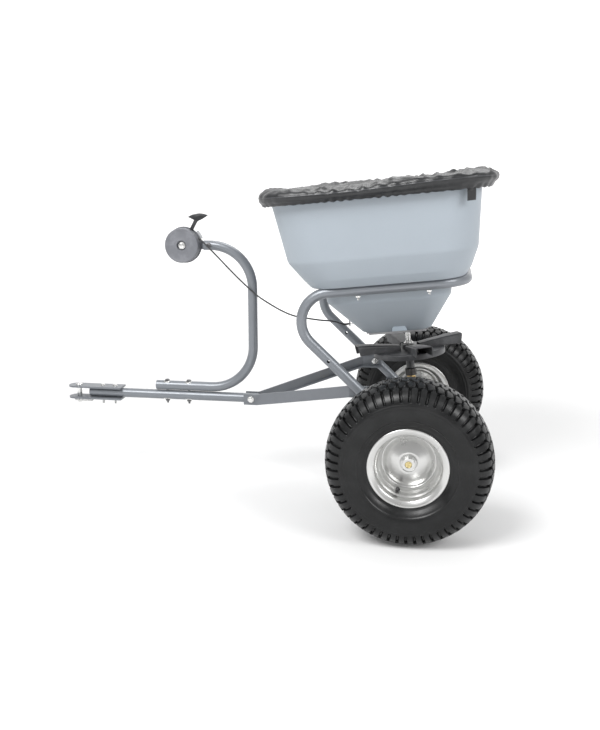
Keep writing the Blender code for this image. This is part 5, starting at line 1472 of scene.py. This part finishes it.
@dataclass
class Tread:
    """The block tread of a turf tyre: shoulder lugs, then two rows of interlocking zigzag blocks a side."""

    pitches: int = 54
    groove: float = 0.0068
    edges: tuple[float, float] = (0.62, 0.22)
    zigzag: float = 0.060
    lug_gap: float = 0.22
    block_gap: float = 0.15
    columns: int = 16

    def height(self, across: Array, way: Array) -> Array:
        """How far the surface stands over the groove floor, 0 to 1.

        The rows part at edge + zigzag * triangle(way), and each row's cross grooves stand half a
        pitch from its neighbour's. Soft steps multiply to 1 on a block and 0 in a groove.

        Args:
            across: The place across the tread, -1 to 1 between the shoulders.
            way: The place round the tyre in pitches.

        Returns:
            The height.
        """
        side = np.abs(across)
        turn = way + np.where(across > 0, 0.5, 0.0)

        def triangle(phase: Array) -> Array:
            """A wave of straight lines from -1 to 1."""
            return 4.0 * np.abs(phase % 1.0 - 0.5) - 1.0

        outer = self.edges[0] + self.zigzag * triangle(turn)
        inner = self.edges[1] + self.zigzag * triangle(turn + 0.5)
        lug, middle = side > outer, (side <= outer) & (side > inner)
        shift = np.where(lug, 0.0, np.where(middle, 0.5, 0.0) + 0.45 * (side - self.edges[1]))
        phase = (turn + shift + 0.11) % 1.0
        gap = np.where(lug, self.lug_gap, self.block_gap)
        block = np.clip(np.minimum(phase - gap, 1.0 - phase) / 0.06, 0.0, 1.0)
        for edge in (outer, inner):
            block = block * np.clip((np.abs(side - edge) - 0.018) / 0.022, 0.0, 1.0)
        return block * block * (3 - 2 * block)


@dataclass
class Wheel:
    """One wheel: a pressed silver rim, its hub and a turf tyre."""

    finishes: Finishes
    side: Side
    tread: Tread = field(default_factory=Tread)
    middle: float = 0.135
    height: float = 0.0555
    half: float = 0.075
    power: float = 0.80
    valve_turn: float = -110.0

    @property
    def body(self) -> Body:
        """The near wheel drives; the far wheel turns freely."""
        return Body.DRIVE_AXLE if self.side is Side.NEAR else Body.FREE_WHEEL

    def basis(self) -> Basis:
        """The wheel's centre, with along pointing away from the machine."""
        low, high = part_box(f"tyre_{self.side.word}")
        centre = (AXLE[0], (low.y + high.y) / 2, AXLE[2])
        return Basis.at(centre, (0.0, float(self.side.value), 0.0))

    def rim(self) -> None:
        """The rim: a rolled flange, a bead seat, a step, the well and a domed disc, and the same behind."""
        lip = filleted([(0.0762, 0.0510), (0.0772, 0.0560), (0.0850, 0.0598), (0.0900, 0.0612),
                        (0.0911, 0.0592), (0.0905, 0.0578)], (0.004, 0.010, 0.002, 0.001), 12.0)
        inner = filleted([(0.0762, 0.0510), (0.0757, 0.0392), (0.0720, 0.0350), (0.0690, 0.0262),
                          (0.0655, 0.0215), (0.0640, 0.0100), (0.0623, 0.0028), (0.0560, 0.0050),
                          (0.0500, 0.0092), (0.0400, 0.0128), (0.0250, 0.0176), (0.0152, 0.0180)],
                         (0.003, 0.004, 0.006, 0.004, 0.008, 0.003, 0.010, 0.012, 0.02, 0.012), 8.0)
        face = np.concatenate([lip[::-1], inner[1:]])
        dish = show(f"rim_{self.side.word}_face", turned("rim", face, self.basis(), 160, closed=False),
                    self.finishes.silver, self.body, (f"rim_{self.side.word}",), 50.0)
        dish.data = self.opened(dish.data, 2)
        back = np.concatenate([(face * (1.0, -1.0))[:len(lip)],
                               filleted([(0.0762, -0.0510), (0.0757, -0.0392), (0.0690, -0.0262),
                                         (0.0645, -0.0160), (0.0645, 0.0040)],
                                        (0.003, 0.006, 0.006), 8.0)[1:]])
        rear = show(f"rim_{self.side.word}_back", turned("rim", back, self.basis(), 128, closed=False),
                    self.finishes.silver, self.body, (), 50.0)
        rear.data = self.opened(rear.data, 2)
        for piece in (dish, rear):
            wall = piece.modifiers.new("wall", "SOLIDIFY")
            wall.thickness = 0.0020
            wall.offset = 0.0

    def opened(self, mesh: bpy.types.Mesh, caps: int) -> bpy.types.Mesh:
        """Takes off the caps, the last faces of a turned mesh, so that it becomes a thin sheet."""
        work = bmesh.new()
        work.from_mesh(mesh)
        work.faces.ensure_lookup_table()
        bmesh.ops.delete(work, geom=work.faces[-caps:], context="FACES_ONLY")
        work.to_mesh(mesh)
        work.free()
        return mesh

    def hub(self) -> None:
        """The hub tube, the welded ring on the disc and the short valve stem."""
        bore = 0.0082
        tube = np.array([(bore, -0.045), (0.0144, -0.045), (0.0150, -0.0444), (0.0150, 0.0304),
                         (0.0144, 0.0310), (bore, 0.0310)])
        show(f"hub_{self.side.word}_turned", turned("hub", tube, self.basis(), 64), self.finishes.silver,
             self.body, (f"hub_{self.side.word}",))
        weld = np.array([(0.0148, 0.0182), (0.0192, 0.0184), (0.0180, 0.0212), (0.0149, 0.0226)])

        def beads(radius: Array, along: Array, angle: Array) -> Array:
            """Weld ripples 0.3 mm high, 34 a turn."""
            return (radius > 0.016) * 0.0003 * np.sin(34 * angle)

        show(f"hub_{self.side.word}_weld", turned("weld", weld, self.basis(), 136, swell=beads),
             self.finishes.silver, self.body)
        turn = math.radians(self.valve_turn)
        base = self.basis()
        outward = base.across * math.cos(turn) + np.array((0.0, 0.0, 1.0)) * math.sin(turn)
        foot = base.origin + outward * 0.0655 + base.along * 0.0230
        way = unit(base.along - outward * 0.30)
        stem = np.array([(0.0004, -0.002), (0.0052, -0.002), (0.0050, 0.002), (0.0040, 0.004),
                         (0.0040, 0.0090), (0.0036, 0.0094), (0.0036, 0.0125), (0.0028, 0.0134),
                         (0.0004, 0.0134)])
        show(f"valve_{self.side.word}", turned("valve", stem, Basis.at(foot, way), 28, closed=False),
             self.finishes.black, self.body)

    def section(self, a: Array) -> tuple[Array, Array]:
        """The casing's outline at angles from its side: a superellipse of (radius, offset)."""
        c, s = np.cos(a), np.sin(a)
        offset = self.half * np.sign(c) * np.abs(c) ** self.power
        radius = self.middle + self.height * np.sign(s) * np.abs(s) ** self.power
        return radius, offset

    def tyre(self) -> None:
        """The tyre: smooth sidewalls with their ribs, and a tread cut into the crown as a height field."""
        shoulder, start = math.radians(36.0), math.radians(14.0)
        a = np.radians(np.linspace(-38.0, 14.0, 40))
        radius, offset = self.section(a)
        rib = 0.0012 * (np.exp(-((radius - 0.1120) / 0.0011) ** 2)
                        + np.exp(-((radius - 0.1380) / 0.0010) ** 2))
        band = 0.0008 * np.clip((radius - 0.1420) / 0.0012, 0.0, 1.0) * np.clip(
            (0.1500 - radius) / 0.0012, 0.0, 1.0)
        lip = np.array([(0.0770, 0.0500), (0.0788, 0.0550), (0.0850, 0.0572), (0.0900, 0.0600)])
        wall = np.concatenate([lip, np.stack([radius, offset + rib + band], 1)])
        ring = np.concatenate([wall, (wall * (1.0, -1.0))[::-1]])
        walls = self.swung(ring, np.zeros((len(ring), 1)), 240, len(wall))
        near = np.linspace(start, shoulder, 15)[:-1]
        crown = np.linspace(1.0, -1.0, 58)
        top = math.pi / 2 - crown * (math.pi / 2 - shoulder)
        side = np.concatenate([near, top, math.pi - near[::-1]])
        across = np.concatenate([np.full(14, 1.0), crown, np.full(14, -1.0)])[:, None]
        steps = self.tread.pitches * self.tread.columns
        way = (np.arange(steps) / self.tread.columns)[None, :]
        reach = np.clip((np.degrees(np.minimum(side, math.pi - side)) - 15.0) / 3.0, 0.0, 1.0)[:, None]
        cut = self.tread.groove * reach * (1.0 - self.tread.height(across, way))
        tread = self.swung(np.stack(self.section(side), 1), cut, steps, 0)
        show(f"tyre_{self.side.word}_treaded", joined("tyre", (walls, tread)), self.finishes.rubber,
             self.body, (f"tyre_{self.side.word}",), 50.0)

    def swung(self, profile: Array, cut: Array, steps: int, gap: int) -> bpy.types.Mesh:
        """A profile of (radius, offset) swung round the axle, each point cut inwards along its normal.

        Args:
            profile: The profile's points.
            cut: The depth at each point and step.
            steps: Points a turn.
            gap: The row before which the surface is left open, or 0.

        Returns:
            The mesh, its faces outwards.
        """
        slope = unit(np.gradient(profile, axis=0))
        normal = np.stack([slope[:, 1], -slope[:, 0]], 1)
        away = (profile[:, 0] - self.middle) * normal[:, 0] + profile[:, 1] * normal[:, 1]
        normal *= np.where(away < 0, -1.0, 1.0)[:, None]
        radius = profile[:, :1] - cut * normal[:, :1]
        offset = profile[:, 1:] - cut * normal[:, 1:]
        angle = np.linspace(0.0, 2 * math.pi, steps, endpoint=False)[None, :]
        points = self.basis().put(radius * np.cos(angle), radius * np.sin(angle), offset)
        flip = -1 if self.side is Side.NEAR else 1
        if not gap:
            return grid_mesh("tread", points[::flip], wrap_columns=True)
        return joined("walls", (grid_mesh("outer", points[:gap][::flip], wrap_columns=True),
                                grid_mesh("inner", points[gap:][::flip], wrap_columns=True)))

    def build(self) -> None:
        """Builds the wheel."""
        self.rim()
        self.hub()
        self.tyre()


@dataclass
class Axle:
    """The live axle with its spacers, pins and end washer."""

    finishes: Finishes
    radius: float = 0.0079
    chamfer: float = 0.0012

    def build(self) -> None:
        """Turns the axle and everything on it."""
        low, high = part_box("axle")
        basis = Basis.at((AXLE[0], 0.0, AXLE[2]), (0.0, 1.0, 0.0))
        r, c = self.radius, self.chamfer
        rod = np.array([(0.0008, low.y), (0.0034, low.y), (0.0040, low.y + 0.0005), (r - c, low.y + 0.0004),
                        (r, low.y + c), (r, high.y - c), (r - c, high.y), (0.0008, high.y)])
        show("axle_turned", turned("axle", rod, basis, 64, closed=False), self.finishes.yellow_zinc,
             Body.DRIVE_AXLE, ("axle",))
        for side in Side:
            node = f"wheel_spacer_{side.word}"
            low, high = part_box(node)
            ring = np.array([(r + 0.0004, low.y), (0.0102, low.y), (0.0107, low.y + 0.0005),
                             (0.0107, high.y - 0.0005), (0.0102, high.y), (r + 0.0004, high.y)])
            show(f"{node}_turned", turned("spacer", ring, basis, 48), self.finishes.zinc, Body.DRIVE_AXLE,
                 (node,))
        low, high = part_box("keeper_washer")
        washer = np.array([(r + 0.0004, low.y), (0.0141, low.y), (0.0145, low.y + 0.0004),
                           (0.0145, high.y - 0.0004), (0.0141, high.y), (r + 0.0004, high.y)])
        show("keeper_washer_turned", turned("washer", washer, basis, 48), self.finishes.zinc,
             Body.DRIVE_AXLE, ("keeper_washer",))
        for node in ("keeper_pin", "drive_pin"):
            dress_node(node, self.finishes.zinc)


# ---------------------------------------------------------------- studio


@dataclass
class Studio:
    """A pale floor, a white surround and large soft lamps, with the camera to one side."""

    camera_place: Point = (0.45065, -2.2728, 0.8346)
    camera_turn: Point = (math.pi / 2 - 0.2175, 0.0, 0.1626)
    lens: float = 43.69
    floor_size: float = 30.0
    wall_place: float = 7.0

    def floor(self) -> None:
        """A pale sweep: flat under the machine, then curving up behind it into a wall."""
        half = self.floor_size / 2
        profile = filleted([(-half, -0.0005), (self.wall_place, -0.0005), (self.wall_place, half)],
                           (3.0,), 5.0)
        x = np.linspace(-half, half, 9)[:, None]
        points = np.stack(np.broadcast_arrays(x, profile[None, :, 0], profile[None, :, 1]), -1)
        mesh = grid_mesh("sweep", points[::-1])
        mesh.materials.append(StudioFloor().material())
        mesh.shade_smooth()
        sweep = bpy.data.objects.new("studio_sweep", mesh)
        bpy.context.scene.collection.objects.link(sweep)

    def lamp(self, name: str, place: Point, aim: Point, size: float, power: float) -> None:
        """A square lamp that faces a point."""
        light = bpy.data.lights.new(name, "AREA")
        light.size = size
        light.energy = power
        lamp = bpy.data.objects.new(name, light)
        lamp.location = place
        lamp.rotation_euler = (Vector(aim) - Vector(place)).to_track_quat("-Z", "Y").to_euler()
        bpy.context.scene.collection.objects.link(lamp)

    def camera(self) -> None:
        """The camera, level and turned towards the machine."""
        data = bpy.data.cameras.new("camera")
        data.lens = self.lens
        data.sensor_width = 36.0
        camera = bpy.data.objects.new("camera", data)
        camera.location = self.camera_place
        camera.rotation_euler = self.camera_turn
        bpy.context.scene.collection.objects.link(camera)
        bpy.context.scene.camera = camera

    def surround(self) -> None:
        """An even white world."""
        world = bpy.data.worlds.new("white")
        world.use_nodes = True
        world.node_tree.nodes["Background"].inputs["Color"].default_value = (1.0, 1.0, 1.0, 1.0)
        world.node_tree.nodes["Background"].inputs["Strength"].default_value = 0.50
        bpy.context.scene.world = world
        bpy.context.scene.view_settings.view_transform = "Standard"

    def build(self) -> None:
        """Sets the studio."""
        self.floor()
        self.lamp("key", (-1.2, -2.4, 3.1), (0.2, 0.0, 0.40), 1.8, 138.0)
        self.lamp("fill", (2.7, -1.8, 2.1), (0.3, 0.0, 0.45), 1.4, 52.0)
        self.lamp("top", (0.2, 0.9, 2.9), (0.2, 0.0, 0.5), 1.6, 34.0)
        self.camera()
        self.surround()


# ---------------------------------------------------------------- the whole machine


def main() -> None:
    """Builds every sub-assembly in order."""
    logging.basicConfig(level=logging.INFO, format="%(name)s: %(message)s")
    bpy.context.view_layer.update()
    finishes = Finishes()
    hopper = Hopper(finishes)
    for part in (TubeFrame(finishes), Drawbar(finishes), ControlHead(finishes), hopper,
                 RainCover(finishes, hopper), Gate(finishes), Spinner(finishes), Gearbox(finishes),
                 Wheel(finishes, Side.NEAR), Wheel(finishes, Side.FAR), Axle(finishes)):
        part.build()
        log.info("built %s", type(part).__name__)
    log.info("built %d bolts", Fasteners(finishes).build())
    Studio().build()


if __name__ == "__main__":
    main()
